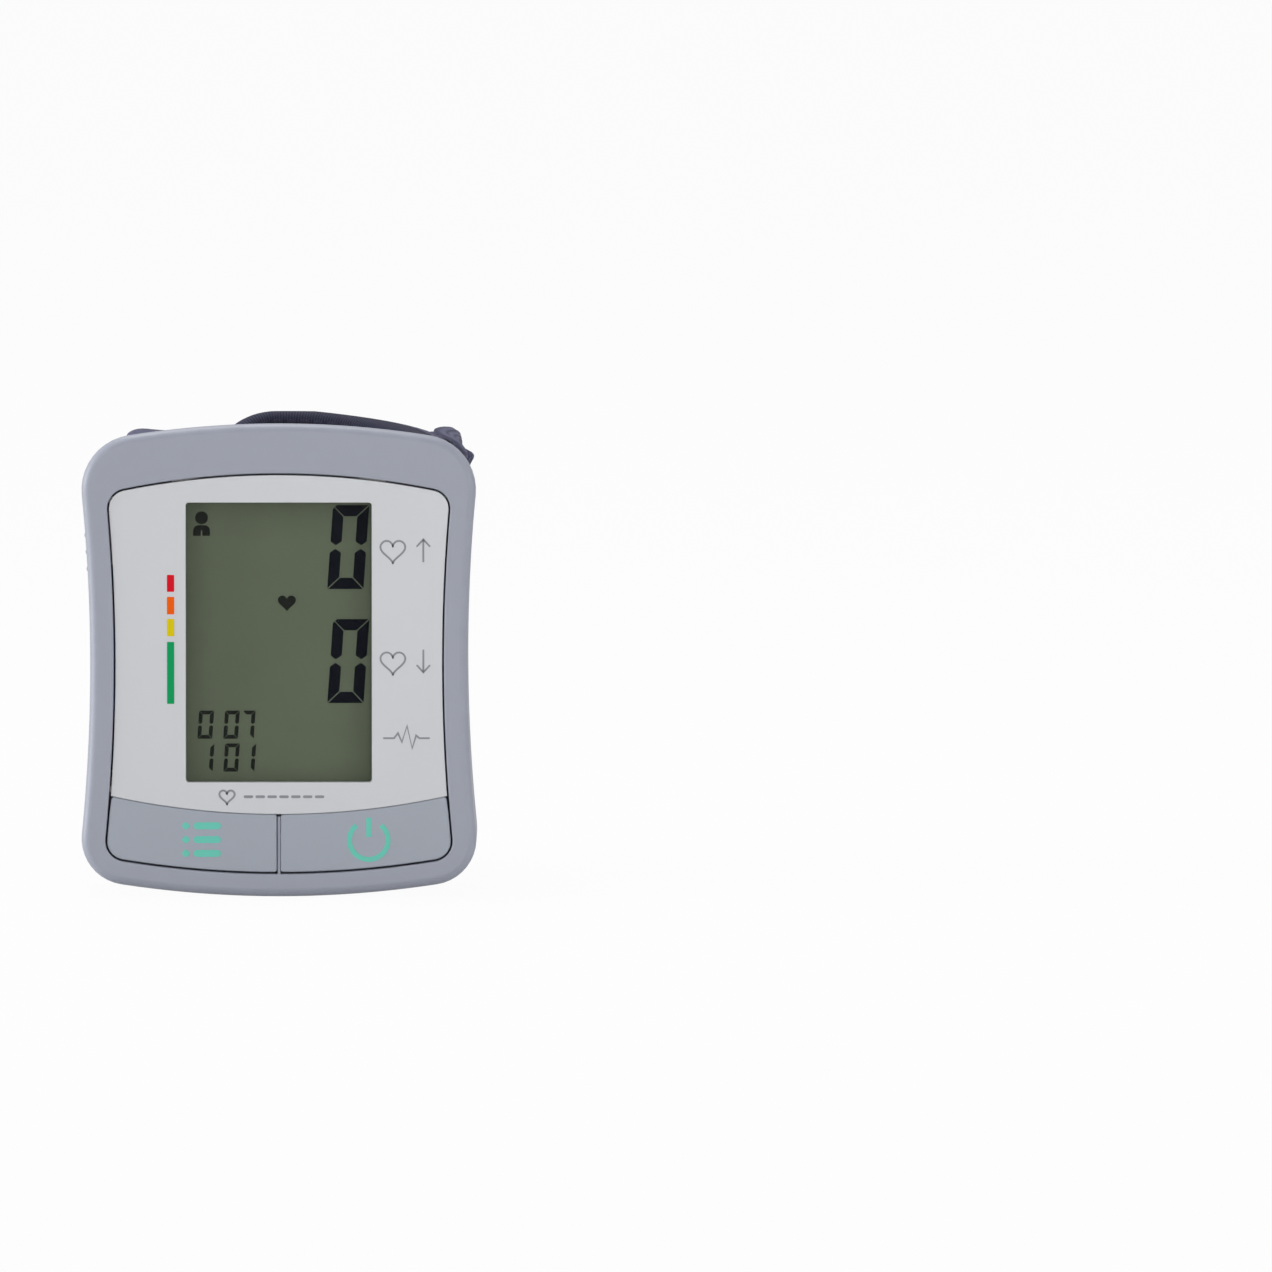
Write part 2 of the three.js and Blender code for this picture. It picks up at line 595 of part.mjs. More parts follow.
const lcdHalf = APERTURE_WIDTH / 2 + LCD_SIDE_MARGIN;
const lcdLow = apertureLow - LCD_END_MARGIN;
const lcdHigh = apertureHigh + LCD_END_MARGIN;
const stripHalf = lcdHalf - 3;
const stripLow = lcdLow + 0.5;

function lcdHolder() {
  const near = lcdFront;
  const far = boardFront - FIT;
  const grow = FIT + HOLDER_WALL;
  const frame = block(-holderHalf, near, lcdLow - grow, holderHalf, far, lcdHigh + grow);
  const seat = block(-lcdHalf - FIT, near - 1, lcdLow - FIT, lcdHalf + FIT, lcdBack + FIT, lcdHigh + FIT);
  const open = block(
    -lcdHalf + HOLDER_LEDGE, near - 1, lcdLow + HOLDER_LEDGE + 1,
    lcdHalf - HOLDER_LEDGE, far + 1, lcdHigh - HOLDER_LEDGE,
  );
  const slot = block(
    -stripHalf - FIT, near, stripLow - FIT,
    stripHalf + FIT, far + 1, stripLow + STRIP_WIDTH + FIT,
  );
  return cut(frame, seat, open, slot);
}

function mainBoard() {
  const sheet = block(-BOARD_LEFT, boardFront, BOARD_BOTTOM, BOARD_RIGHT, boardBack, boardTop);
  const holes = [BOARD_SCREW_LOW, boardScrewHigh].map((z) =>
    rod(BOARD_SCREW_RADIUS + FIT, [BOARD_SCREW_X, boardFront - 1, z], [BOARD_SCREW_X, boardBack + 1, z], 14));
  return cut(sheet, ...holes);
}

// Screw with its head at the far end and a cross cut in it
function screw(x, z, seat, length, radius, head, headHeight) {
  const shank = rod(radius, [x, seat - length, z], [x, seat + 0.2, z], 8);
  const top = rod(head, [x, seat, z], [x, seat + headHeight, z], 12, head * 0.9);
  const depth = headHeight * 0.5;
  const bottom = seat + headHeight - depth;
  const above = seat + headHeight + 1;
  const long = head * 0.6;
  const thin = head * 0.12;
  const slotA = block(x - long, bottom, z - thin, x + long, above, z + thin);
  const slotB = block(x - thin, bottom, z - long, x + thin, above, z + long);
  return cut(join(shank, top), slotA, slotB);
}

function batteryTray() {
  const left = cellX - CELL_RADIUS + 0.6;
  const far = rearCellDepth + CELL_RADIUS - 1.2;
  const low = bayLow - TRAY_WALL;
  const high = bayHigh + TRAY_WALL;
  const outline = [
    [trayRight, low], [trayRight, high], [left, high], [left, bayHigh],
    [trayRight - TRAY_WALL, bayHigh], [trayRight - TRAY_WALL, bayLow], [left, bayLow], [left, low],
  ];
  return prism(outline, frontWallBack + FIT, far);
}

// A cell along Z; plusUp says which end has the nub
function cell(depth, plusUp) {
  const low = plusUp ? bayLow + SPRING_LENGTH + FIT : bayLow + CONTACT_THICKNESS + 2 * FIT;
  const high = low + cellLength;
  const canLow = plusUp ? low : low + CELL_NUB_HEIGHT;
  const canHigh = plusUp ? high - CELL_NUB_HEIGHT : high;
  const can = rod(CELL_RADIUS, [cellX, depth, canLow], [cellX, depth, canHigh], 24);
  const nub = plusUp
    ? rod(CELL_NUB_RADIUS, [cellX, depth, canHigh - 0.4], [cellX, depth, high], 16)
    : rod(CELL_NUB_RADIUS, [cellX, depth, low], [cellX, depth, canLow + 0.4], 16);
  return join(can, nub);
}

class ConeHelix extends THREE.Curve {
  constructor(wide, narrow, length, turns) {
    super();
    Object.assign(this, { wide, narrow, length, turns });
  }

  getPoint(t, target = new THREE.Vector3()) {
    const radius = this.wide + (this.narrow - this.wide) * t;
    const angle = 2 * Math.PI * this.turns * t;
    return target.set(radius * Math.cos(angle), radius * Math.sin(angle), this.length * t);
  }
}

function circleShape(radius, sides, bore = 0) {
  const turn = 2 * Math.PI * (1 - 1 / sides);
  const ring = (r) => arcPoints([0, 0], r, 0, turn, sides - 1).map(([u, v]) => new THREE.Vector2(u, v));
  const shape = new THREE.Shape(ring(radius));
  if (bore > 0) shape.holes.push(new THREE.Path(ring(bore)));
  return shape;
}

// Round wire or hose run along a curve
function wire(curve, radius, steps, sides, bore = 0) {
  const shape = circleShape(radius, sides, bore);
  return solid(new THREE.ExtrudeGeometry(shape, { extrudePath: curve, steps, bevelEnabled: false }));
}

// Battery spring: one unbroken wire; its coils' least gap is measured on the points of the curve
function batterySpring() {
  const rise = SPRING_LENGTH - FIT - SPRING_WIRE;
  const curve = new ConeHelix(CELL_RADIUS * 0.62, CELL_RADIUS * 0.36, rise, SPRING_TURNS);
  const steps = 30;
  let least = Infinity;
  const points = curve.getPoints(steps);
  for (let i = 0; i < points.length; i += 1) {
    for (let k = i + 5; k < points.length; k += 1) least = Math.min(least, points[i].distanceTo(points[k]));
  }
  console.log(`battery spring least gap ${(least - SPRING_WIRE).toFixed(2)} mm`);
  return wire(curve, SPRING_WIRE / 2, steps, 5);
}

function batteryContact() {
  const half = CELL_RADIUS * 0.7;
  const sheet = block(-half, -half, 0, half, half, CONTACT_THICKNESS);
  return join(sheet, rod(1.4, [0, 0, CONTACT_THICKNESS - 0.2], [0, 0, CONTACT_THICKNESS + FIT * 0.5], 14, 1));
}

function batteryDoor() {
  const outer = bodyLoft([[doorFar + 3, 0], [doorNear - 3, 0]]);
  const inner = bodyLoft([[doorFar + 4, DOOR_THICKNESS], [doorNear - 4, DOOR_THICKNESS]]);
  const opening = block(-WAIST_WIDTH, doorNear, doorLow, 0, doorFar, doorHigh);
  const panel = common(cut(outer, inner), opening);
  const grips = [-1, 0, 1].map((step) => {
    const z = doorHigh - DOOR_GRIP_DROP + step * DOOR_GRIP_PITCH;
    const x = DOOR_GRIP_RADIUS / 2 - sideHalf(z);
    return rod(DOOR_GRIP_RADIUS, [x, doorNear + DOOR_GRIP_INSET, z], [x, doorFar - DOOR_GRIP_INSET, z], 8);
  });
  return join(panel, ...grips);
}

// Pump, built about its own axis with its foot at zero
function pumpMotor() {
  const can = rod(MOTOR_RADIUS, [0, 0, 0], [0, 0, motorLength], 28);
  const flat = MOTOR_RADIUS * 0.84;
  const flats = [-1, 1].map((s) => block(
    Math.min(s * flat, s * 20), -20, -1, Math.max(s * flat, s * 20), 20, motorLength - 2.4,
  ));
  return cut(can, ...flats, rod(SHAFT_RADIUS + 0.2, [0, 0, motorLength - 4], [0, 0, motorLength + 1], 16));
}

function pumpHead() {
  const low = motorLength + FIT;
  const high = low + HEAD_LENGTH;
  const cup = rod(HEAD_RADIUS, [0, 0, low], [0, 0, high], 28);
  const hollow = rod(HEAD_RADIUS - HEAD_WALL, [0, 0, low - 1], [0, 0, high - HEAD_TOP], 28);
  const nozzle = rod(NOZZLE_RADIUS, [0, 0, high - 0.4], [0, 0, high + NOZZLE_LENGTH], 14);
  const bore = rod(NOZZLE_RADIUS * 0.5, [0, 0, low], [0, 0, high + NOZZLE_LENGTH + 1], 10);
  return cut(join(cut(cup, hollow), nozzle), bore);
}

const diaphragmLow = motorLength + FIT + HEAD_LENGTH - HEAD_TOP - DIAPHRAGM_THICKNESS - FIT;

function pumpEccentric() {
  const high = diaphragmLow - FIT;
  const shaft = rod(SHAFT_RADIUS, [0, 0, motorLength - 3.6], [0, 0, high - 0.6], 16);
  const disc = rod(ECCENTRIC_RADIUS, [ECCENTRIC_THROW, 0, high - 3], [ECCENTRIC_THROW, 0, high - 0.4], 22);
  const pin = rod(1, [ECCENTRIC_THROW * 2, 0, high - 0.6], [ECCENTRIC_THROW * 2, 0, high], 12);
  return join(shaft, disc, pin);
}

function pumpDiaphragm() {
  const radius = HEAD_RADIUS - HEAD_WALL - FIT;
  return rod(radius, [0, 0, diaphragmLow], [0, 0, diaphragmLow + DIAPHRAGM_THICKNESS], 24);
}

// Valve, about its own axis
function exhaustValve() {
  const half = VALVE_SIDE / 2;
  const housing = block(-half, -half, 0, half, half, VALVE_LENGTH);
  const nozzle = rod(NOZZLE_RADIUS, [0, 0, VALVE_LENGTH - 0.4], [0, 0, VALVE_LENGTH + NOZZLE_LENGTH], 14);
  const chamber = rod(VALVE_PLUNGER_RADIUS + FIT, [0, 0, -1], [0, 0, VALVE_LENGTH - 2], 18);
  const bore = rod(NOZZLE_RADIUS * 0.5, [0, 0, 0], [0, 0, VALVE_LENGTH + NOZZLE_LENGTH + 1], 10);
  return cut(join(housing, nozzle), chamber, bore);
}

function valvePlunger() {
  const high = VALVE_LENGTH - 2 - VALVE_TRAVEL - FIT;
  const shank = rod(VALVE_PLUNGER_RADIUS, [0, 0, 0.6], [0, 0, high - 1.4], 16);
  return join(shank, rod(VALVE_PLUNGER_RADIUS * 0.6, [0, 0, high - 1.6], [0, 0, high], 14));
}

// Manifold, about its own centre, with a nozzle to the pump, the sensor, the valve and the cuff
function airManifold() {
  const half = MANIFOLD_SIDE / 2;
  const deep = MANIFOLD_DEPTH / 2;
  const reach = half + NOZZLE_LENGTH;
  const body = block(-half, -deep, -deep, half, deep, deep);
  const cuffEnd = portNear - FIT - manifoldDepth;
  return cut(
    join(
      body,
      rod(NOZZLE_RADIUS, [-reach, 0, 0], [reach, 0, 0], 14),
      rod(NOZZLE_RADIUS, [0, 0, 0], [0, 0, -deep - NOZZLE_LENGTH], 14),
      rod(NOZZLE_RADIUS, [0, 0, 0], [0, cuffEnd, 0], 14),
    ),
    rod(NOZZLE_RADIUS * 0.5, [-reach - 1, 0, 0], [reach + 1, 0, 0], 10),
    rod(NOZZLE_RADIUS * 0.5, [0, 0, 0], [0, 0, -deep - NOZZLE_LENGTH - 1], 10),
    rod(NOZZLE_RADIUS * 0.5, [0, 0, 0], [0, cuffEnd + 1, 0], 10),
  );
}

const portStep = BODY_DEPTH - CASE_WALL - FIT;
const portNear = portStep - PORT_NOSE;

function straightTube(from, to) {
  return cut(
    rod(TUBE_RADIUS, from, to, 18),
    rod(TUBE_BORE, from.map((v, i) => v - (to[i] - v) * 0.1), to.map((v, i) => v + (v - from[i]) * 0.1), 18),
  );
}

// Hose with straight ends on its nozzles and one bend between them
function bentTube(from, fromDirection, to, toDirection, straight, bend) {
  const step = (point, direction, length) => point.clone().addScaledVector(direction, length);
  const a = new THREE.Vector3(...from);
  const d = new THREE.Vector3(...to);
  const u = new THREE.Vector3(...fromDirection);
  const v = new THREE.Vector3(...toDirection);
  const path = new THREE.CurvePath();
  const b = step(a, u, straight);
  const c = step(d, v, straight);
  path.add(new THREE.LineCurve3(a, b));
  path.add(new THREE.CubicBezierCurve3(b, step(b, u, bend), step(c, v, bend), c));
  path.add(new THREE.LineCurve3(c, d));
  return path;
}

function cuffPort() {
  const far = loopFront - LINER_THICKNESS - LAYER_GAP - 0.6;
  const [x, z] = [MANIFOLD_X, manifoldHeight];
  return cut(
    join(
      rod(NOZZLE_RADIUS, [x, portNear, z], [x, portStep + 0.4, z], 14),
      rod(PORT_RADIUS, [x, portStep, z], [x, far, z], 16),
    ),
    rod(NOZZLE_RADIUS * 0.5, [x, portNear - 1, z], [x, far + 1, z], 10),
  );
}

// Inner line of the wrist loop from above: hollow back, round corners, straight sides, half-round far side
const backLine = BACK_RADIUS - plateOffset - cuffThickness;
const backTurn = Math.asin((LOOP_HALF_WIDTH - LOOP_CORNER) / (backLine - LOOP_CORNER));
const cornerY = backCentre - (backLine - LOOP_CORNER) * Math.cos(backTurn);
const farCentre = loopFront + LOOP_DEPTH - LOOP_HALF_WIDTH;
const backLength = backLine * backTurn;
const cornerLength = LOOP_CORNER * (Math.PI / 2 - backTurn);
const sideLength = farCentre - cornerY;
const farLength = LOOP_HALF_WIDTH * (Math.PI / 2);
const sideStart = backLength + cornerLength;
const halfLoop = sideStart + sideLength + farLength;

// Place and outward direction on the loop, by distance from the middle of the back; plus is to the right
function loopStation(distance) {
  const whole = 2 * halfLoop;
  const around = ((distance % whole) + whole) % whole;
  if (around > halfLoop) {
    const mirrored = loopStation(whole - around);
    return { x: -mirrored.x, y: mirrored.y, nx: -mirrored.nx, ny: mirrored.ny };
  }
  const onArc = (cx, cy, radius, angle) => ({
    x: cx + radius * Math.cos(angle), y: cy + radius * Math.sin(angle),
    nx: Math.cos(angle), ny: Math.sin(angle),
  });
  if (around <= backLength) return onArc(0, backCentre, backLine, -Math.PI / 2 + around / backLine);
  if (around <= sideStart) {
    const angle = -Math.PI / 2 + backTurn + (around - backLength) / LOOP_CORNER;
    return onArc(LOOP_HALF_WIDTH - LOOP_CORNER, cornerY, LOOP_CORNER, angle);
  }
  if (around <= sideStart + sideLength) {
    return { x: LOOP_HALF_WIDTH, y: cornerY + around - sideStart, nx: 1, ny: 0 };
  }
  return onArc(0, farCentre, LOOP_HALF_WIDTH, (around - sideStart - sideLength) / LOOP_HALF_WIDTH);
}

// Distances at which every layer of the cuff has a ring, so that the layers keep their gap to one another
function loopGrid() {
  const farStart = halfLoop - farLength;
  const runs = [
    [0, backLength, 3], [backLength, sideStart, 5], [sideStart, farStart, 2], [farStart, halfLoop, 8],
  ];
  const half = runs.flatMap(([from, to, count]) => arcSteps(from, to, count));
  const all = [...half.map((d) => -d), ...half, halfLoop, ...half.map((d) => 2 * halfLoop - d)];
  return all.sort((a, b) => a - b);
}

function arcSteps(from, to, count) {
  return Array.from({ length: count }, (_, i) => from + ((to - from) * i) / count);
}

// Rings of one run: its rounded ends in small steps and the common rings between them
function stops(from, to, roundFrom = 0, roundTo = 0) {
  const ends = 4;
  const eased = arcSteps(0, Math.PI / 2, ends).map((angle) => 1 - Math.cos(angle));
  const a = from + roundFrom;
  const b = to - roundTo;
  const between = loopGrid().filter((d, i, all) => d > a + 0.7 && d < b - 0.7 && d !== all[i - 1]);
  const opening = roundFrom > 0 ? eased.map((share) => from + roundFrom * share) : [];
  const closing = roundTo > 0 ? eased.map((share) => to - roundTo * share).reverse() : [];
  return [...opening, a, ...between, b, ...closing];
}

function endInset(distance, end, round) {
  const left = Math.abs(end - distance);
  if (round <= 0 || left >= round) return 0;
  return round - Math.sqrt(Math.max(0, round * round - (round - left) * (round - left)));
}

// A band laid along stations; section gives its outline as [offset outwards, height] at each of them
function band(list, stationAt, section) {
  const rings = list.map((distance) => {
    const place = stationAt(distance);
    const lay = ([out, height]) => [place.x + place.nx * out, place.y + place.ny * out, height];
    return section(distance).map(lay);
  });
  return loft(rings, section(list[Math.floor(list.length / 2)]));
}

function layer(from, to, near, far, low, high, roundFrom = 0, roundTo = 0) {
  const section = (distance) => {
    const inset = Math.min(
      Math.max(endInset(distance, from, roundFrom), endInset(distance, to, roundTo)), (high - low) / 2 - 1,
    );
    return [[near, low + inset], [far, low + inset], [far, high - inset], [near, high - inset]];
  };
  return band(stops(from, to, roundFrom, roundTo), loopStation, section);
}

const cuffLow = BINDING_THICKNESS + LAYER_GAP;
const cuffHigh = CUFF_HEIGHT - cuffLow;
const flapEnd = halfLoop + FLAP_OVERLAP;

function cuffCover() {
  const from = -CUFF_LEFT_REACH;
  const sheet = layer(from, flapEnd, coverInner, cuffThickness, cuffLow, cuffHigh, 2, FLAP_END_ROUND);
  return cut(sheet, portHole(PORT_RADIUS + FIT));
}

function cuffStiffener() {
  const near = LINER_THICKNESS + BLADDER_THICKNESS + 2 * LAYER_GAP;
  const sheet = layer(
    -CUFF_LEFT_REACH + 3, flapEnd - 6, near, near + STIFFENER_THICKNESS,
    BLADDER_INSET - 2, CUFF_HEIGHT - BLADDER_INSET + 2, 3, FLAP_END_ROUND,
  );
  return cut(sheet, portHole(PORT_RADIUS + FIT));
}

function cuffBladder() {
  const near = LINER_THICKNESS + LAYER_GAP;
  const sheet = layer(
    -CUFF_LEFT_REACH + 4, flapEnd - 8, near, near + BLADDER_THICKNESS,
    BLADDER_INSET, CUFF_HEIGHT - BLADDER_INSET, 4, FLAP_END_ROUND,
  );
  return cut(sheet, portHole(PORT_RADIUS + FIT));
}

// The liner swells towards the wrist between its bound edges
function cuffLiner() {
  const from = -CUFF_LEFT_REACH;
  const section = (distance) => {
    const inset = Math.max(endInset(distance, from, 2), endInset(distance, flapEnd, FLAP_END_ROUND));
    const low = cuffLow + Math.min(inset, CUFF_HEIGHT / 2 - 4);
    const high = CUFF_HEIGHT - low;
    const ends = Math.min(1, (distance - from) / 10, (flapEnd - distance) / 10);
    const crown = (t) => -LINER_CROWN * ends * Math.sqrt(4 * t * (1 - t));
    const swell = [0.08, 0.3, 0.7, 0.92].map((t) => [crown(t), high - (high - low) * t]);
    return [[0, low], [LINER_THICKNESS, low], [LINER_THICKNESS, high], [0, high], ...swell];
  };
  return band(stops(from, flapEnd, 2, FLAP_END_ROUND), loopStation, section);
}

// Folded tape over the rim of the liner and the cover
function edgeBinding(upper) {
  const side = LAYER_GAP + BINDING_THICKNESS;
  const inner = -LAYER_GAP;
  const outer = cuffThickness + LAYER_GAP;
  const flip = (z) => (upper ? CUFF_HEIGHT - z : z);
  const section = () => [
    [inner - BINDING_THICKNESS, 0], [outer + BINDING_THICKNESS, 0],
    [outer + BINDING_THICKNESS, BINDING_DEPTH],
    [outer, BINDING_DEPTH], [outer, side - LAYER_GAP], [inner, side - LAYER_GAP], [inner, BINDING_DEPTH],
    [inner - BINDING_THICKNESS, BINDING_DEPTH],
  ].map(([out, z]) => [out, flip(z)]);
  return band(stops(-CUFF_LEFT_REACH + 2, flapEnd - FLAP_END_ROUND), loopStation, section);
}

// Curved sheet between the case and the cuff, pegged into the hollow back
function cuffPlate() {
  const near = cuffThickness + FIT;
  const low = PLATE_END_INSET;
  const sheet = layer(-PLATE_REACH, PLATE_REACH, near, near + PLATE_WALL, low, CUFF_HEIGHT - low, 3, 3);
  const pegs = pegPlaces().map(([x, z]) => {
    const surface = backCentre - Math.sqrt(BACK_RADIUS * BACK_RADIUS - x * x);
    return rod(PEG_RADIUS, [x, surface - PEG_LENGTH, z], [x, surface + FIT + PLATE_WALL * 0.5, z], 12);
  });
  return cut(join(sheet, ...pegs), portHole(PORT_RADIUS + FIT));
}

// The strap runs from the left root round the far side and down the right; distance is from the back's middle
const strapEnd = 2 * halfLoop - sideStart + STRAP_END_REACH;

function strapStation(distance) {
  const right = 2 * halfLoop - sideStart;
  if (distance <= right) return loopStation(-distance);
  return { x: LOOP_HALF_WIDTH, y: cornerY - (distance - right), nx: 1, ny: 0 };
}

function strapOut(distance) {
  const t = THREE.MathUtils.smoothstep(distance, STRAP_ROOT_FOLD, STRAP_END_FOLD - 8);
  return strapRootOffset + (strapOffset - strapRootOffset) * t;
}

function strapRise(distance) {
  return STRAP_RISE * THREE.MathUtils.smoothstep(distance, STRAP_RISE_START, strapEnd);
}

// The upper corner of the loose end turns outwards
function strapFlare(distance, height) {
  const share = Math.max(0, distance - strapEnd + STRAP_END_REACH) / STRAP_END_REACH;
  const lift = (height - STRAP_FLARE_LOW) / (strapHigh + STRAP_RISE - STRAP_FLARE_LOW);
  return STRAP_END_FLARE * share * share * lift;
}

function strapRun(from, to, roundTo = 0) {
  const section = (distance) => {
    const inset = endInset(distance, to, roundTo);
    const low = STRAP_LOW + strapRise(distance) + inset;
    const high = strapHigh + strapRise(distance) - inset;
    const near = strapOut(distance);
    const far = near + STRAP_THICKNESS;
    const flare = strapFlare(distance, high);
    return [
      [near, low], [far, low], [far + STRAP_SWELL, STRAP_FLARE_LOW],
      [far + flare, high], [near + flare, high], [near - STRAP_SWELL, STRAP_FLARE_LOW],
    ];
  };
  return band(stops(from, to, 0, roundTo), strapStation, section);
}

function hookPatch() {
  const to = strapEnd - STRAP_END_REACH - HOOK_PATCH_END;
  const section = (distance) => {
    const inset = endInset(distance, to, PATCH_CORNER);
    const low = PATCH_INSET + strapRise(distance) + inset;
    const high = CUFF_HEIGHT - PATCH_INSET + strapRise(distance) - inset;
    return [
      [hookPatchOffset, low], [hookPatchOffset + HOOK_PATCH_THICKNESS, low],
      [hookPatchOffset + HOOK_PATCH_THICKNESS, high], [hookPatchOffset, high],
    ];
  };
  return band(stops(to - HOOK_PATCH_LENGTH, to, 0, PATCH_CORNER), strapStation, section);
}

function loopPatch() {
  const from = sideStart + LOOP_PATCH_START;
  const to = flapEnd - LOOP_PATCH_END;
  const far = loopPatchOffset + LOOP_PATCH_THICKNESS;
  const low = PATCH_INSET - LOOP_PATCH_MARGIN;
  return layer(from, to, loopPatchOffset, far, low, CUFF_HEIGHT - low, PATCH_CORNER, LOOP_PATCH_ROUND);
}

function pumpLead(shift) {
  const from = [PUMP_X + shift, pumpDepth, PUMP_BASE - FIT];
  const to = [PUMP_X + shift, boardBack + FIT, PUMP_BASE - LEAD_DROP];
  return wire(bentTube(from, [0, 0, -1], to, [0, 1, 0], 1, LEAD_BEND), LEAD_RADIUS, 9, 5);
}

function pumpTube() {
  const from = [PUMP_X, pumpDepth, PUMP_BASE + motorLength + HEAD_LENGTH + 2 * FIT];
  const to = [MANIFOLD_X + MANIFOLD_SIDE / 2 + FIT, manifoldDepth, manifoldHeight];
  const route = bentTube(from, [0, 0, 1], to, [1, 0, 0], NOZZLE_LENGTH + TUBE_SPARE, PUMP_TUBE_BEND);
  return wire(route, TUBE_RADIUS, 12, 8, TUBE_BORE);
}

function sensorTube() {
  const from = [SENSOR_X, boardBack + FIT + SENSOR_HEIGHT / 2, sensorCentre - SENSOR_SIDE / 2 - FIT];
  const to = [MANIFOLD_X - MANIFOLD_SIDE / 2 - FIT, manifoldDepth, manifoldHeight];
  const straight = NOZZLE_LENGTH + TUBE_SPARE / 2;
  const route = bentTube(from, [0, 0, -1], to, [-1, 0, 0], straight, SENSOR_TUBE_BEND);
  return wire(route, TUBE_RADIUS, 12, 8, TUBE_BORE);
}

function pressureSensor() {
  const half = SENSOR_SIDE / 2;
  const near = boardBack + FIT;
  const middle = near + SENSOR_HEIGHT / 2;
  const low = sensorCentre - half;
  return cut(
    join(
      block(SENSOR_X - half, near, low, SENSOR_X + half, near + SENSOR_HEIGHT, low + SENSOR_SIDE),
      rod(NOZZLE_RADIUS, [SENSOR_X, middle, low - NOZZLE_LENGTH], [SENSOR_X, middle, low + 1], 14),
    ),
    rod(NOZZLE_RADIUS * 0.5, [SENSOR_X, middle, low - NOZZLE_LENGTH - 1], [SENSOR_X, middle, low + 3], 10),
  );
}

// Looks of the materials
function finish(colour, roughness, metalness = 0) {
  return () => new THREE.MeshStandardMaterial({ color: colour, roughness, metalness });
}

const caseGrey = finish(0x9397a3, 0.5);
const plateWhite = finish(0xc6c8cb, 0.35);
const clear = finish(0xaab4ac, 0.08);
const lcdGreen = finish(0x5c6555, 0.25);
const white = finish(0xe4e4e0, 0.6);
const boardGreen = finish(0x1c5a38, 0.5);
const black = finish(0x1b1b1d, 0.55);
const steel = finish(0xa8abb0, 0.3, 1);
const silicone = finish(0xd8d6cf, 0.6);
const brass = finish(0xb9923f, 0.35, 1);
const cellWrap = finish(0x31506e, 0.35);
const cuffNavy = finish(0x2a2b3c, 0.95);
const cuffTrim = finish(0x6a6c86, 0.95);
const red = finish(0xa32420, 0.5);

const assembly = new THREE.Group();
assembly.name = "assembly";
assembly.position.y = -overallDepth / 2;

function add(parent, name, made, material, place = [0, 0, 0]) {
  const mesh = new THREE.Mesh(geometryOf(made), material());
  mesh.name = name;
  mesh.position.set(...place);
  parent.add(mesh);
  return mesh;
}

function group(name, place = [0, 0, 0]) {
  const made = new THREE.Group();
  made.name = name;
  made.position.set(...place);
  assembly.add(made);
  return made;
}

const housing = group("housing");
add(housing, "front_case", frontCase(), caseGrey);
add(housing, "rear_cover", rearCover(), caseGrey);
add(housing, "face_plate", facePlate(), plateWhite);
add(housing, "display_window", displayWindow(), clear);
add(housing, "memory_button", key(-1), caseGrey);
add(housing, "power_button", key(1), caseGrey);
add(housing, "battery_door", batteryDoor(), caseGrey);
screwPlaces.forEach(([x, z], i) => {
  const seat = PARTING_DEPTH + CASE_SEAT_DEPTH + FIT;
  const length = CASE_SCREW_LENGTH - (z < BODY_HEIGHT / 2 ? 2 : 0);
  const made = screw(x, z, seat, length, CASE_SCREW_RADIUS, CASE_SCREW_HEAD, CASE_SCREW_HEAD_HEIGHT);
  add(housing, `case_screw_${i + 1}`, made, steel);
});

const display = group("display");
add(display, "lcd_panel", block(-lcdHalf, lcdFront, lcdLow, lcdHalf, lcdBack, lcdHigh), lcdGreen);
add(display, "lcd_holder", lcdHolder(), white);
const strip = block(
  -stripHalf, lcdBack + FIT, stripLow, stripHalf, boardFront - FIT, stripLow + STRIP_WIDTH,
);
add(display, "contact_strip", strip, black);

const electronics = group("electronics");
add(electronics, "main_board", mainBoard(), boardGreen);
[["memory", -1], ["power", 1]].forEach(([name, sideSign]) => {
  add(electronics, `${name}_switch`, keySwitch(sideSign), black);
  add(electronics, `${name}_plunger`, switchPlunger(sideSign), white);
});
[BOARD_SCREW_LOW, boardScrewHigh].forEach((z, i) => {
  const made = screw(BOARD_SCREW_X, z, boardBack + FIT, 5, BOARD_SCREW_RADIUS, 1.6, 1.2);
  add(electronics, `board_screw_${i + 1}`, made, steel);
});
const chipNear = boardBack + FIT;
add(electronics, "controller_chip", block(
  CHIP_X - CHIP_SIDE / 2, chipNear, chipCentre - CHIP_SIDE / 2,
  CHIP_X + CHIP_SIDE / 2, chipNear + CHIP_HEIGHT, chipCentre + CHIP_SIDE / 2,
), black);
const buzzerFar = chipNear + BUZZER_HEIGHT;
const disc = rod(BUZZER_RADIUS, [BUZZER_X, chipNear, buzzerCentre], [BUZZER_X, buzzerFar, buzzerCentre], 28);
add(electronics, "buzzer", disc, brass);
add(electronics, "pressure_sensor", pressureSensor(), black);

const pump = group("pump", [PUMP_X, pumpDepth, PUMP_BASE]);
add(pump, "pump_motor", pumpMotor(), steel);
add(pump, "pump_head", pumpHead(), black);
add(pump, "pump_eccentric", pumpEccentric(), white);
add(pump, "pump_diaphragm", pumpDiaphragm(), silicone);

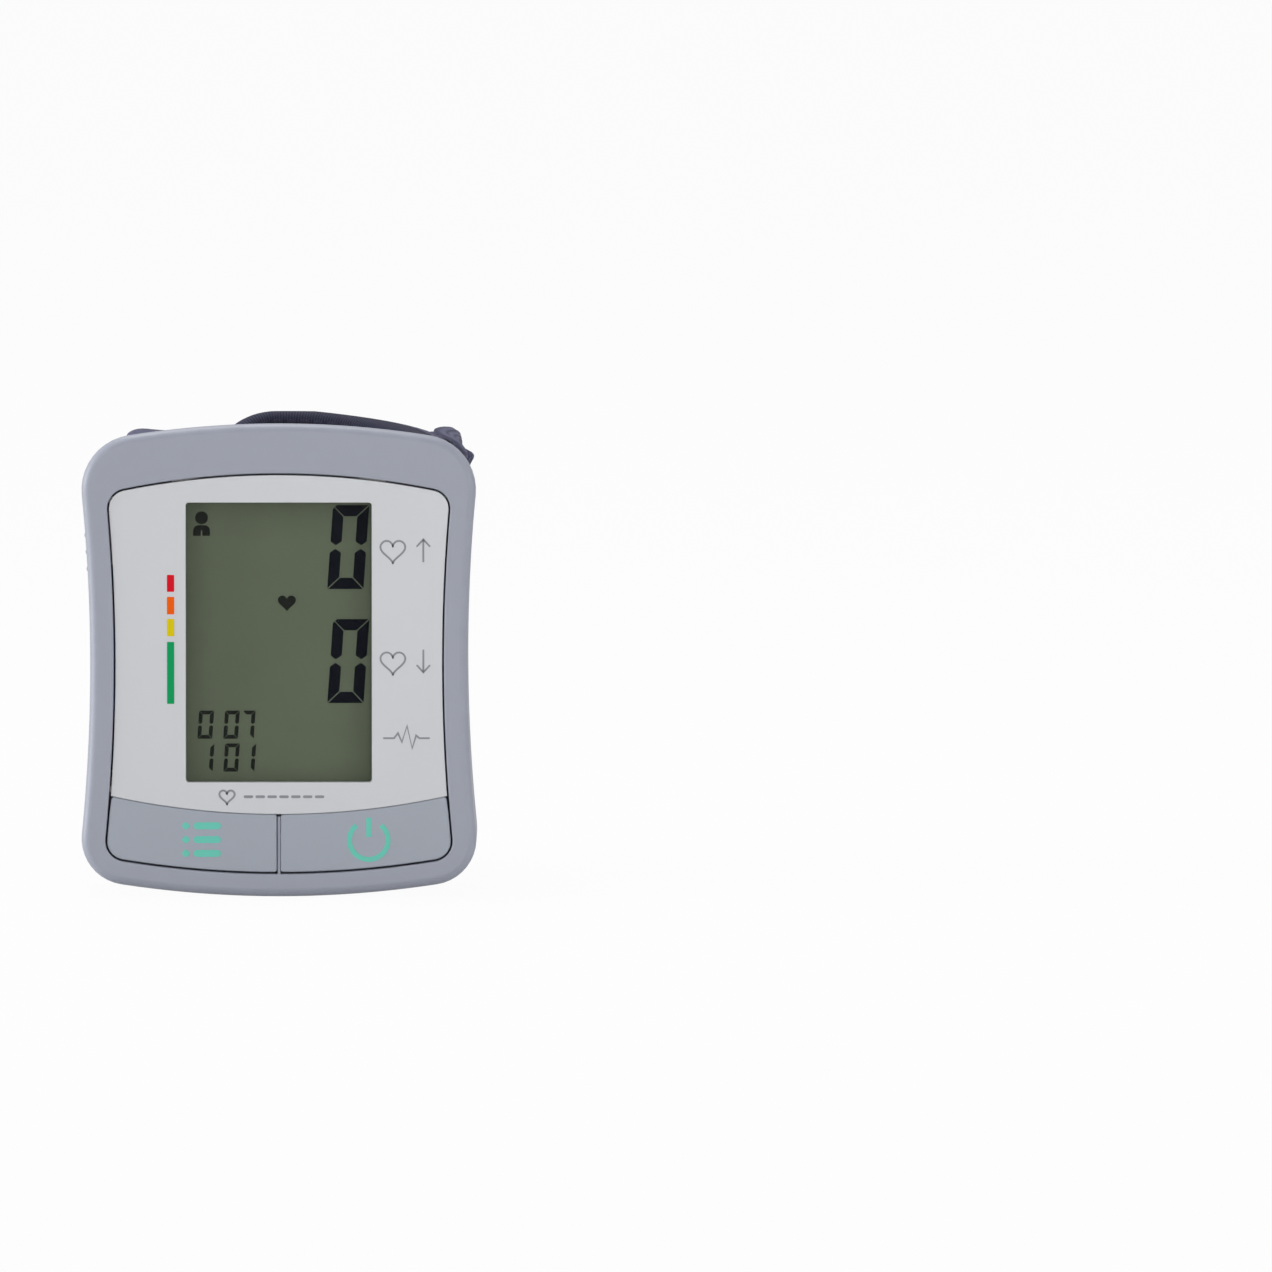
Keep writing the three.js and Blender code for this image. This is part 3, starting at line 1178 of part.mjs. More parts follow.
const air = group("air");
add(air, "exhaust_valve", exhaustValve(), steel, [MANIFOLD_X, manifoldDepth, valveBase]);
add(air, "valve_plunger", valvePlunger(), black, [MANIFOLD_X, manifoldDepth, valveBase]);
add(air, "air_manifold", airManifold(), white, [MANIFOLD_X, manifoldDepth, manifoldHeight]);
add(air, "pump_tube", pumpTube(), silicone);
add(air, "sensor_tube", sensorTube(), silicone);
add(air, "valve_tube", straightTube(
  [MANIFOLD_X, manifoldDepth, valveBase + VALVE_LENGTH + FIT],
  [MANIFOLD_X, manifoldDepth, manifoldHeight - MANIFOLD_DEPTH / 2 - FIT],
), silicone);
add(air, "cuff_tube", straightTube(
  [MANIFOLD_X, manifoldDepth + MANIFOLD_DEPTH / 2 + FIT, manifoldHeight],
  [MANIFOLD_X, portStep - FIT, manifoldHeight],
), silicone);
add(air, "cuff_port", cuffPort(), white);
add(air, "pump_lead_red", pumpLead(-LEAD_SPREAD), red);
add(air, "pump_lead_black", pumpLead(LEAD_SPREAD), black);

const power = group("power");
add(power, "battery_tray", batteryTray(), white);
add(power, "cell_front", cell(frontCellDepth, true), cellWrap);
add(power, "cell_rear", cell(rearCellDepth, false), cellWrap);
const springFoot = SPRING_WIRE / 2 + FIT / 2;
add(power, "battery_spring_front", batterySpring(), steel, [cellX, frontCellDepth, bayLow + springFoot]);
const springTop = [cellX, rearCellDepth, bayHigh - springFoot];
add(power, "battery_spring_rear", batterySpring(), steel, springTop).rotation.x = Math.PI;
const contactTop = [cellX, frontCellDepth, bayHigh - FIT / 2];
add(power, "battery_contact_front", batteryContact(), steel, contactTop).rotation.x = Math.PI;
add(power, "battery_contact_rear", batteryContact(), steel, [cellX, rearCellDepth, bayLow + FIT / 2]);

const cuff = group("cuff");
add(cuff, "cuff_plate", cuffPlate(), black);
add(cuff, "cuff_cover", cuffCover(), cuffNavy);
add(cuff, "cuff_stiffener", cuffStiffener(), white);
add(cuff, "cuff_bladder", cuffBladder(), black);
add(cuff, "cuff_liner", cuffLiner(), cuffNavy);
add(cuff, "cuff_binding_top", edgeBinding(true), cuffTrim);
add(cuff, "cuff_binding_bottom", edgeBinding(false), cuffTrim);
add(cuff, "loop_patch", loopPatch(), cuffTrim);
add(cuff, "strap_root", strapRun(STRAP_ROOT_START, STRAP_ROOT_FOLD), cuffTrim);
add(cuff, "strap_middle", strapRun(STRAP_ROOT_FOLD + FIT, STRAP_END_FOLD), cuffTrim);
add(cuff, "strap_end", strapRun(STRAP_END_FOLD + FIT, strapEnd, STRAP_END_ROUND), cuffTrim);
add(cuff, "hook_patch", hookPatch(), black);

export default assembly;
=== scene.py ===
import bpy
import math
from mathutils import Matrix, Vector, noise


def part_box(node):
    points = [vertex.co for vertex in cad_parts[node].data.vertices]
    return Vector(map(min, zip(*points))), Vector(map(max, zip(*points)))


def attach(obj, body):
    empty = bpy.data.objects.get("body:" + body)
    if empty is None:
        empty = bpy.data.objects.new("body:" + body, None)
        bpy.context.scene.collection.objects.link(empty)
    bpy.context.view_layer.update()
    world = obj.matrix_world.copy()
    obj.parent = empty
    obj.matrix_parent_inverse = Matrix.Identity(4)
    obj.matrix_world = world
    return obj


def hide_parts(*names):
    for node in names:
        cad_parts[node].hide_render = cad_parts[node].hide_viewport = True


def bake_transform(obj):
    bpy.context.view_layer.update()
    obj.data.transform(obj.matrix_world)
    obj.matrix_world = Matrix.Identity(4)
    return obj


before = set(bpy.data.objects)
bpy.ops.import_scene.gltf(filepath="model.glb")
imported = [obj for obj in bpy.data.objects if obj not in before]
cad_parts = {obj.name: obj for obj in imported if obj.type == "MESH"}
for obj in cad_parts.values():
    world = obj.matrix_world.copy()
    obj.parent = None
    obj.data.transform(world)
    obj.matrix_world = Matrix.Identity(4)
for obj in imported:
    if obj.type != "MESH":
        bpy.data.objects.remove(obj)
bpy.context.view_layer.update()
print("frame loaded,", len(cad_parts), "solids")

# lengths below are millimetres; depth counts from the front of the bezel towards the wrist
mm = 0.001
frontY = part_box("front_case")[0].y


def at(x, depth, z):
    return (x * mm, frontY + depth * mm, z * mm)


# camera first, at the photograph's low frontal angle, with the monitor on the left of the frame
cameraSizes = dict(
    distance=5000, elevation=4.35, frameWidth=225.2, centreX=63.25, centreZ=46.38, sensor=36,
    nearClip=50, farClip=60000,
)


def makeCamera():
    size = cameraSizes
    tilt = math.radians(size["elevation"])
    back = size["distance"] * math.cos(tilt)
    up = size["distance"] * math.sin(tilt)
    spot = at(size["centreX"], -back, size["centreZ"] + up)
    bpy.ops.object.camera_add(location=spot, rotation=(math.pi / 2 - tilt, 0, 0))
    camera = bpy.context.active_object
    camera.name = "photoCamera"
    camera.data.sensor_width = size["sensor"]
    camera.data.lens = size["sensor"] * size["distance"] / size["frameWidth"]
    camera.data.clip_start = size["nearClip"] * mm
    camera.data.clip_end = size["farClip"] * mm
    bpy.context.scene.camera = camera


makeCamera()
print("camera set")


# everyday tools
def clearSelection():
    if bpy.context.mode != "OBJECT":
        bpy.ops.object.mode_set(mode="OBJECT")
    bpy.ops.object.select_all(action="DESELECT")


def pick(obj):
    clearSelection()
    obj.select_set(True)
    bpy.context.view_layer.objects.active = obj


def named(name):
    obj = bpy.context.active_object
    obj.name = name
    obj.data.name = name
    return obj


def settle(obj):
    pick(obj)
    bpy.ops.object.transform_apply(location=True, rotation=True, scale=True)
    return obj


def applyModifier(obj, kind, **values):
    pick(obj)
    modifier = obj.modifiers.new(kind.lower(), kind)
    for key, value in values.items():
        setattr(modifier, key, value)
    bpy.ops.object.modifier_apply(modifier=modifier.name)
    return obj


def carve(obj, cutter, operation="DIFFERENCE"):
    applyModifier(obj, "BOOLEAN", operation=operation, solver="EXACT", object=cutter)
    bpy.data.objects.remove(cutter, do_unlink=True)
    return obj


def softenEdges(obj, width, segments=3, angle=35):
    return applyModifier(
        obj, "BEVEL", width=width * mm, segments=segments, limit_method="ANGLE",
        angle_limit=math.radians(angle),
    )


def smooth(obj, angle=32):
    pick(obj)
    bpy.ops.object.shade_smooth_by_angle(angle=math.radians(angle))
    return obj


# rounded edges beside flats that stay flat in the light
def crisp(obj):
    return applyModifier(smooth(obj), "WEIGHTED_NORMAL", mode="FACE_AREA", weight=100, keep_sharp=True)


def joinAll(parts, name):
    clearSelection()
    for part in parts:
        part.select_set(True)
    bpy.context.view_layer.objects.active = parts[0]
    bpy.ops.object.join()
    return named(name)


# edit mode with only the wanted faces or edges selected
def editWith(obj, kind, wanted):
    pick(obj)
    bpy.ops.object.mode_set(mode="EDIT")
    bpy.ops.mesh.select_mode(type=kind)
    bpy.ops.mesh.select_all(action="DESELECT")
    bpy.ops.object.mode_set(mode="OBJECT")
    for part in obj.data.polygons if kind == "FACE" else obj.data.edges:
        part.select = wanted(part)
    bpy.ops.object.mode_set(mode="EDIT")


def block(name, low, high):
    clearSelection()
    middle = [(a + b) / 2 for a, b in zip(low, high)]
    size = [(b - a) * mm for a, b in zip(low, high)]
    bpy.ops.mesh.primitive_cube_add(size=1, location=at(*middle), scale=size)
    return settle(named(name))


# a rod along the depth axis
def rod(name, x, z, radius, near, far, sides=40):
    clearSelection()
    bpy.ops.mesh.primitive_cylinder_add(
        vertices=sides, radius=radius * mm, depth=(far - near) * mm,
        location=at(x, (near + far) / 2, z), rotation=(math.pi / 2, 0, 0),
    )
    return settle(named(name))


# a grid whose rows are laid on the given rings, closed round and filled at its ends;
# across and along give it a map in millimetres, marks give each row a rub value
def skin(name, rings, across=None, along=None, marks=None):
    clearSelection()
    loops = [list(ring) + [ring[0]] for ring in rings]
    count = len(loops[0])
    bpy.ops.mesh.primitive_grid_add(x_subdivisions=count - 1, y_subdivisions=len(loops) - 1, size=1)
    obj = named(name)
    mesh = obj.data
    mesh.vertices.foreach_set("co", [value for loop in loops for point in loop for value in point])
    if across is not None:
        chart = mesh.uv_layers[0]
        chart.name = "cloth"
        for corner in mesh.loops:
            row, column = divmod(corner.vertex_index, count)
            chart.data[corner.index].uv = (across[column], along[row])
    if marks is not None:
        rim = mesh.attributes.new("rim", "FLOAT", "POINT")
        rim.data.foreach_set("value", [mark for mark in marks for _ in range(count)])
    bpy.ops.object.mode_set(mode="EDIT")
    bpy.ops.mesh.select_all(action="SELECT")
    bpy.ops.mesh.remove_doubles(threshold=1e-7)
    bpy.ops.mesh.fill_holes(sides=0)
    bpy.ops.mesh.select_all(action="SELECT")
    bpy.ops.mesh.normals_make_consistent(inside=False)
    bpy.ops.object.mode_set(mode="OBJECT")
    return obj


def between(low, high, count):
    return [low + (high - low) * i / count for i in range(count + 1)]


# bisecting direction of a path at one point, and the share by which a line beside it is stretched there
def bisector(before, here, after, least):
    arriving, leaving = [
        Vector((b[0] - a[0], b[1] - a[1])).normalized() for a, b in ((before, here), (here, after))
    ]
    middle = (arriving + leaving).normalized()
    return middle, max(least, middle.dot(leaving if leaving.length else arriving))


# moves a closed outline inwards
def insetLoop(points, distance):
    area = sum(a[0] * b[1] - b[0] * a[1] for a, b in zip(points, points[1:] + points[:1]))
    turn = 1 if area > 0 else -1
    moved = []
    for before, here, after in zip(points[-1:] + points[:-1], points, points[1:] + points[:1]):
        middle, stretch = bisector(before, here, after, 0.35)
        reach = turn * distance / stretch
        moved.append((here[0] - middle.y * reach, here[1] + middle.x * reach))
    return moved


# a flat plate in the face plane, its front edge rounded
def tile(name, outline, near, far, rounding=0.1, steps=3):
    rings = [[at(x, far, z) for x, z in outline]]
    for angle in between(0, math.pi / 2, steps):
        drawn = insetLoop(outline, rounding * (1 - math.cos(angle)))
        depth = near + rounding * (1 - math.sin(angle))
        rings.append([at(x, depth, z) for x, z in drawn])
    return skin(name, rings)


def arc(centreX, centreZ, radius, start, end, steps):
    angles = [math.radians(angle) for angle in between(start, end, steps)]
    return [(centreX + radius * math.cos(angle), centreZ + radius * math.sin(angle)) for angle in angles]


def heading(x, z):
    return math.degrees(math.atan2(z, x))


def roundedBox(left, low, right, high, corner, steps=6):
    return (
        arc(right - corner, low + corner, corner, -90, 0, steps)
        + arc(right - corner, high - corner, corner, 0, 90, steps)
        + arc(left + corner, high - corner, corner, 90, 180, steps)
        + arc(left + corner, low + corner, corner, 180, 270, steps)
    )


# outline of a drawn stroke with round or plain ends
def strokeLoop(path, width, rounded=True):
    half = width / 2
    left = []
    right = []
    for i, here in enumerate(path):
        middle, stretch = bisector(path[max(i - 1, 0)], here, path[min(i + 1, len(path) - 1)], 0.5)
        reach = half / stretch
        left.append((here[0] - middle.y * reach, here[1] + middle.x * reach))
        right.append((here[0] + middle.y * reach, here[1] - middle.x * reach))
    if not rounded:
        return right + left[::-1]
    caps = []
    for before, end in ((path[-2], path[-1]), (path[1], path[0])):
        way = heading(end[0] - before[0], end[1] - before[1])
        caps.append(arc(end[0], end[1], half, way - 90, way + 90, 8)[1:-1])
    return right + caps[0] + left[::-1] + caps[1]


# thin printed marks that lie on a surface at the given depth
printSizes = dict(sunk=0.01, rounding=0.015)


def printMarks(name, outlines, depth, ink=0.05):
    far = depth + printSizes["sunk"]
    parts = [tile(name, outline, depth - ink, far, printSizes["rounding"], 1) for outline in outlines]
    return joinAll(parts, name) if len(parts) > 1 else parts[0]


def ease(value, low, high):
    t = min(1, max(0, (value - low) / (high - low)))
    return t * t * (3 - 2 * t)


# quarter-round rise, from 0 at an edge to 1 at the given distance from it
def roundOff(away, reach):
    return math.sqrt(1 - (1 - min(1, max(0, away) / reach)) ** 2)


# shader tools
def plug(tree, value, socket):
    if isinstance(value, bpy.types.NodeSocket):
        tree.links.new(value, socket)
    else:
        socket.default_value = value


def fillIn(tree, sockets, **values):
    for key, value in values.items():
        plug(tree, value, sockets[key.replace("_", " ")])


def node(tree, kind, settings=None, **inputs):
    made = tree.nodes.new(kind)
    for key, value in (settings or {}).items():
        setattr(made, key, value)
    fillIn(tree, made.inputs, **inputs)
    return made


def sums(tree, operation, a, b=0.0, c=0.0):
    made = node(tree, "ShaderNodeMath", dict(operation=operation))
    for socket, value in zip(made.inputs, (a, b, c)):
        plug(tree, value, socket)
    return made.outputs[0]


def tint(tree, share, low, high, blend="MIX"):
    made = node(tree, "ShaderNodeMix", dict(data_type="RGBA", blend_type=blend))
    plug(tree, share, made.inputs[0])
    plug(tree, low, made.inputs[6])
    plug(tree, high, made.inputs[7])
    return made.outputs[2]


def ramp(tree, value, start, end, low=0.0, high=1.0):
    made = node(
        tree, "ShaderNodeMapRange", Value=value, From_Min=start, From_Max=end, To_Min=low, To_Max=high
    )
    return made.outputs["Result"]


def mottle(tree, spot, scale, detail, rough=0.5):
    made = node(tree, "ShaderNodeTexNoise", Vector=spot, Scale=scale, Detail=detail, Roughness=rough)
    return made.outputs["Fac"]


def newGroup(name, values, outputs):
    group = bpy.data.node_groups.new(name, "ShaderNodeTree")
    sockets = group.interface
    sockets.new_socket(name="Vector", in_out="INPUT", socket_type="NodeSocketVector")
    for label, value in values.items():
        sockets.new_socket(name=label, in_out="INPUT", socket_type="NodeSocketFloat").default_value = value
    for label in outputs:
        sockets.new_socket(name=label, in_out="OUTPUT", socket_type="NodeSocketFloat")
    return group, group.nodes.new("NodeGroupInput").outputs, group.nodes.new("NodeGroupOutput").inputs


# fine spark-eroded grain and broad clouding of moulded plastic
def makeGrainGroup():
    group, given, end = newGroup("mouldedGrain", {"Grain Size": 0.12}, ["Height", "Clouding"])
    fine = sums(group, "DIVIDE", 1000.0, given["Grain Size"])
    plug(group, mottle(group, given["Vector"], fine, 3.0, 0.6), end["Height"])
    plug(group, mottle(group, given["Vector"], 75.0, 4.0, 0.55), end["Clouding"])
    return group


# rubbed edges: the rim value of the mesh, broken up by noise
def makeRubGroup():
    group, given, end = newGroup("rubbedRim", dict(Rim=0.0), ["Rub"])
    patches = mottle(group, given["Vector"], 260.0, 5.0, 0.65)
    lifted = sums(group, "MULTIPLY_ADD", patches, 1.6, -0.35)
    plug(group, sums(group, "MULTIPLY", lifted, given["Rim"]), end["Rub"])
    return group


# ribbed weave in millimetres of the cloth's own map: ribs across, picks along
def makeWeaveGroup():
    group, given, end = newGroup(
        "ribbedWeave", dict(Rib=0.7, Pick=0.5, Fuzz=0.3), ["Height", "Shade", "Clouding"]
    )
    split = node(group, "ShaderNodeSeparateXYZ", Vector=given["Vector"]).outputs
    ribPlace = sums(group, "DIVIDE", split["X"], given["Rib"])
    pickPlace = sums(group, "DIVIDE", split["Y"], given["Pick"])
    shifted = sums(group, "MULTIPLY_ADD", sums(group, "FLOOR", ribPlace), 0.5, pickPlace)
    waves = []
    for place in (ribPlace, shifted):
        waves.append(sums(group, "ABSOLUTE", sums(group, "SINE", sums(group, "MULTIPLY", place, math.pi))))
    weave = sums(group, "MULTIPLY", waves[0], sums(group, "MULTIPLY_ADD", waves[1], 0.55, 0.45))
    fuzz = sums(group, "MULTIPLY", mottle(group, given["Vector"], 5.5, 4.0, 0.7), given["Fuzz"])
    plug(group, sums(group, "ADD", weave, fuzz), end["Height"])
    plug(group, sums(group, "MULTIPLY_ADD", fuzz, 0.8, sums(group, "MULTIPLY", weave, 0.8)), end["Shade"])
    plug(group, mottle(group, given["Vector"], 0.16, 3.0, 0.6), end["Clouding"])
    return group


# one row of stitches at a place across the cloth's map
def makeStitchGroup():
    group, given, end = newGroup("stitchRow", dict(Place=0.0, Pitch=2.6, Width=0.5), ["Stitch", "Groove"])
    split = node(group, "ShaderNodeSeparateXYZ", Vector=given["Vector"]).outputs
    off = sums(group, "ABSOLUTE", sums(group, "SUBTRACT", split["X"], given["Place"]))
    side = sums(group, "DIVIDE", off, given["Width"])
    turns = sums(group, "DIVIDE", split["Y"], given["Pitch"])
    wave = sums(group, "SINE", sums(group, "MULTIPLY", turns, 2 * math.pi))
    length = ramp(group, wave, -0.6, -0.2)
    body = ramp(group, side, 0.9, 0.35)
    plug(group, sums(group, "MULTIPLY", length, body), end["Stitch"])
    plug(group, ramp(group, side, 3.2, 0.6), end["Groove"])
    return group


grainGroup = makeGrainGroup()
rubGroup = makeRubGroup()
weaveGroup = makeWeaveGroup()
stitchGroup = makeStitchGroup()


# a new material, its tree and its shader's sockets
def newMaterial(name):
    material = bpy.data.materials.new(name)
    material.use_nodes = True
    tree = material.node_tree
    return material, tree, tree.nodes["Principled BSDF"].inputs


def objectSpot(tree):
    return node(tree, "ShaderNodeTexCoord").outputs["Object"]


def placeGroup(tree, group, **inputs):
    return node(tree, "ShaderNodeGroup", dict(node_tree=group), **inputs).outputs


def roughen(tree, shader, value, low, high):
    plug(tree, ramp(tree, value, 0.0, 1.0, low, high), shader["Roughness"])


def bump(tree, shader, height, strength, distance):
    made = node(tree, "ShaderNodeBump", Height=height, Strength=strength, Distance=distance * mm)
    plug(tree, made.outputs["Normal"], shader["Normal"])


def shaded(colour, factor=1.0):
    return tuple(min(1, channel * factor) for channel in colour) + (1,)


# moulded plastic: clouded colour, grain, rubbed rims where the mesh marks them
def plastic(name, colour, rough=0.45, grain=0.12, depth=0.02, rub=0.0, cloud=0.07, specular=0.5):
    material, tree, shader = newMaterial(name)
    spot = objectSpot(tree)
    made = placeGroup(tree, grainGroup, Vector=spot, Grain_Size=grain)
    base = tint(tree, made["Clouding"], shaded(colour, 1 - cloud), shaded(colour, 1 + cloud))
    if rub:
        rim = node(tree, "ShaderNodeAttribute", dict(attribute_name="rim")).outputs["Fac"]
        worn = placeGroup(tree, rubGroup, Vector=spot, Rim=rim)["Rub"]
        base = tint(tree, sums(tree, "MULTIPLY", worn, rub), base, shaded(colour, 1.5))
    fillIn(tree, shader, Base_Color=base, Specular_IOR_Level=specular)
    roughen(tree, shader, made["Clouding"], rough - 0.06, rough + 0.08)
    bump(tree, shader, made["Height"], 0.25, depth)
    return material


# plated metal with fine streaks
def metal(name, colour, rough=0.3, stretch=(1, 1, 12)):
    material, tree, shader = newMaterial(name)
    turned = node(tree, "ShaderNodeMapping", Vector=objectSpot(tree), Scale=stretch)
    streaks = mottle(tree, turned.outputs["Vector"], 900.0, 4.0)
    base = tint(tree, streaks, shaded(colour, 0.85), shaded(colour, 1.1))
    fillIn(tree, shader, Base_Color=base, Metallic=1)
    roughen(tree, shader, streaks, rough - 0.1, rough + 0.12)
    bump(tree, shader, streaks, 0.15, 0.01)
    return material


# tones of the weave as shares of its colour; heights of seam, stitch groove and stitch beside one rib
clothLook = dict(
    dark=0.45, light=1.5, aged=0.86, seamDark=0.5, seamFrom=0.32, seamTo=0.05,
    seam=-1.8, groove=-1.6, stitch=2.6,
)


# woven cloth on the piece's own map, with stitch rows as (place across it, thread colour);
# lining is the colour of the side that lies before the fold
def cloth(
    name, colour, rib=0.7, pick=0.5, fuzz=0.3, rows=(), depth=0.14, sheen=0.05, pitch=2.6,
    lining=None, fold=0.0, upright=False,
):
    look = clothLook
    material, tree, shader = newMaterial(name)
    spot = node(tree, "ShaderNodeUVMap", dict(uv_map="cloth")).outputs["UV"]
    split = node(tree, "ShaderNodeSeparateXYZ", Vector=spot).outputs
    run = spot
    if upright:
        run = node(tree, "ShaderNodeCombineXYZ", X=split["Y"], Y=split["X"]).outputs["Vector"]
    made = placeGroup(tree, weaveGroup, Vector=run, Rib=rib, Pick=pick, Fuzz=fuzz)
    height = made["Height"]
    base = tint(tree, made["Shade"], shaded(colour, look["dark"]), shaded(colour, look["light"]))
    if lining:
        outside = sums(tree, "GREATER_THAN", split["X"], fold)
        inside = tint(tree, made["Shade"], shaded(lining, look["dark"]), shaded(lining, look["light"]))
        away = sums(tree, "ABSOLUTE", sums(tree, "SUBTRACT", split["X"], fold))
        seam = ramp(tree, away, look["seamFrom"], look["seamTo"])
        base = tint(tree, seam, tint(tree, outside, inside, base), shaded(lining, look["seamDark"]))
        height = sums(tree, "MULTIPLY_ADD", seam, look["seam"], height)
    aged = tint(tree, made["Clouding"], shaded((1, 1, 1), look["aged"]), shaded((1, 1, 1)))
    base = tint(tree, 1.0, base, aged, "MULTIPLY")
    for place, thread in rows:
        row = placeGroup(tree, stitchGroup, Vector=spot, Place=place, Pitch=pitch)
        base = tint(tree, row["Stitch"], base, shaded(thread))
        sunk = sums(tree, "MULTIPLY_ADD", row["Groove"], look["groove"], height)
        height = sums(tree, "MULTIPLY_ADD", row["Stitch"], look["stitch"], sunk)
    fillIn(tree, shader, Base_Color=base, Specular_IOR_Level=0.1, Sheen_Weight=sheen, Sheen_Roughness=0.5)
    roughen(tree, shader, made["Shade"], 0.98, 0.8)
    bump(tree, shader, height, 0.7, depth)
    return material


def dress(obj, material):
    obj.data.materials.clear()
    obj.data.materials.append(material)
    return obj


def finishPiece(obj, body, material, stands=()):
    dress(obj, material)
    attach(obj, body)
    if stands:
        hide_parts(*stands)
    return obj


# the case: waisted outline with bulged ends
caseForm = dict(
    waist=66.85, waistHeight=41.5, sideRadius=305, top=84, topRadius=170, highCorner=9.8,
    bottom=0, bottomRadius=185, lowCorner=8.2,
)
pocketForm = dict(
    waist=58.45, waistHeight=41.5, sideRadius=325, top=75.2, topRadius=139, highCorner=3.6,
    bottom=4.1, bottomRadius=171, lowCorner=3.6,
)
outlineSizes = dict(endSteps=10, cornerSteps=10, sideSteps=24, leastCorner=0.4)
caseSizes = dict(
    edgeRound=1.6, edgeSteps=10, crownSlope=0.08, wall=2.2, parting=13.0, fit=0.3, pocketDepth=3.4,
    backCentre=92.5, backRadius=68,
    pocketLip=((0, 0.3, 0.2), (-0.06, 0.12, 1), (-0.16, 0.03, 1), (-0.4, 0, 0.1)),  # inset, depth, rub
    partingLip=((0, 0.3, 0.1), (0.1, 0.08, 0.5), (0.3, 0, 0.2)),  # inset, distance from the parting, rub
)


# centre of the corner arc between a bulged end and a drawn-in side
def cornerCentre(endZ, endRadius, sideX, sideZ, sideRadius, corner, upper):
    reach = endRadius - corner
    span = sideRadius + corner
    rise = sideZ - endZ
    distance = math.hypot(sideX, rise)
    along = (reach * reach - span * span + distance * distance) / (2 * distance)
    across = math.sqrt(reach * reach - along * along) * (1 if upper else -1)
    return (along * sideX - across * rise) / distance, endZ + (along * rise + across * sideX) / distance


def waisted(form, inset=0.0):
    size = outlineSizes
    sideX = form["waist"] / 2 + form["sideRadius"]
    sideZ = form["waistHeight"]
    sideRadius = form["sideRadius"] + inset
    crownZ = form["top"] - form["topRadius"]
    crownRadius = form["topRadius"] - inset
    baseZ = form["bottom"] + form["bottomRadius"]
    baseRadius = form["bottomRadius"] - inset
    lowRound = max(form["lowCorner"] - inset, size["leastCorner"])
    highRound = max(form["highCorner"] - inset, size["leastCorner"])
    lowX, lowZ = cornerCentre(baseZ, baseRadius, sideX, sideZ, sideRadius, lowRound, False)
    highX, highZ = cornerCentre(crownZ, crownRadius, sideX, sideZ, sideRadius, highRound, True)
    lowStart = heading(lowX, lowZ - baseZ)
    lowEnd = heading(sideX - lowX, sideZ - lowZ)
    sideFrom = heading(lowX - sideX, lowZ - sideZ) % 360
    sideTo = heading(highX - sideX, highZ - sideZ) % 360
    highStart = heading(sideX - highX, sideZ - highZ)
    highEnd = heading(highX, highZ - crownZ)
    half = arc(0, baseZ, baseRadius, -90, lowStart, size["endSteps"])[1:]
    half += arc(lowX, lowZ, lowRound, lowStart, lowEnd, size["cornerSteps"])[1:]
    half += arc(sideX, sideZ, sideRadius, sideFrom, sideTo, size["sideSteps"])[1:]
    half += arc(highX, highZ, highRound, highStart, highEnd, size["cornerSteps"])[1:]
    half += arc(0, crownZ, crownRadius, highEnd, 90, size["endSteps"])[1:-1]
    foot = [(0.0, baseZ - baseRadius)]
    head = [(0.0, crownZ + crownRadius)]
    return foot + half + head + [(-x, z) for x, z in reversed(half)]


# the top of the case falls a little towards the back
def caseAt(depth):
    fall = caseSizes["crownSlope"] * max(0, depth - caseSizes["edgeRound"])
    return dict(caseForm, top=caseForm["top"] - fall)


# half width of the case at a height
def sideHalf(z):
    radius = caseForm["sideRadius"]
    return caseForm["waist"] / 2 + radius - math.sqrt(radius ** 2 - (z - caseForm["waistHeight"]) ** 2)


def ring(form, inset, depth):
    shape = caseAt(depth) if form is caseForm else form
    return [at(x, depth, z) for x, z in waisted(shape, inset)]


# battery door in the left side, with a few grip ribs near its top
doorSizes = dict(
    near=4.5, far=24.2, low=20.6, high=68.6, thickness=2.0, gap=0.3, edge=0.25, spare=2,
    cutLeft=-45, cutRight=-29,
    gripDrop=8, grips=(-3.0, 0.0, 3.0), gripRadius=0.7, gripMargin=5, gripSides=24, gripEdge=0.5,
)


def doorCutter():
    size = doorSizes
    low = (size["cutLeft"], size["near"] - size["gap"], size["low"] - size["gap"])
    high = (size["cutRight"], size["far"] + size["gap"], size["high"] + size["gap"])
    return block("doorCutter", low, high)


def makeFrontShell():
    size = caseSizes
    edge = size["edgeRound"]
    deep = size["pocketDepth"]
    parting = size["parting"]
    steps = [(pocketForm, 0, deep, 0)]
    steps += [(pocketForm, inset, depth, rub) for inset, depth, rub in size["pocketLip"]]
    for angle in between(0, math.pi / 2, size["edgeSteps"]):
        rub = 0.15 + 0.85 * math.sin(2 * angle)
        steps.append((caseForm, edge * (1 - math.sin(angle)), edge * (1 - math.cos(angle)), rub))
    steps.append((caseForm, 0, deep, 0))
    steps += [(caseForm, inset, parting - back, rub) for inset, back, rub in size["partingLip"]]
    steps += [(caseForm, size["wall"], parting, 0), (caseForm, size["wall"], deep, 0)]
    steps.append(steps[0])
    rings = [ring(form, inset, depth) for form, inset, depth, rub in steps]
    shell = skin("bezelShell", rings, marks=[step[3] for step in steps])
    carve(shell, doorCutter())
    return crisp(shell)


# hollow back: depth of the cylinder that the wrist side follows
def backDepth(x, extra=0.0):
    radius = caseSizes["backRadius"] + extra
    return caseSizes["backCentre"] - math.sqrt(radius * radius - x * x)


# rear cover: its rim is rounded more at the sides than at its ends
rearSizes = dict(
    fallSpan=10, endRound=1.4, sideRound=3.9, roundFrom=18, roundTo=31, rimSteps=8, rimSquash=1.05,
    backShares=(0.93, 0.8, 0.62, 0.42, 0.22, 0.04),
)


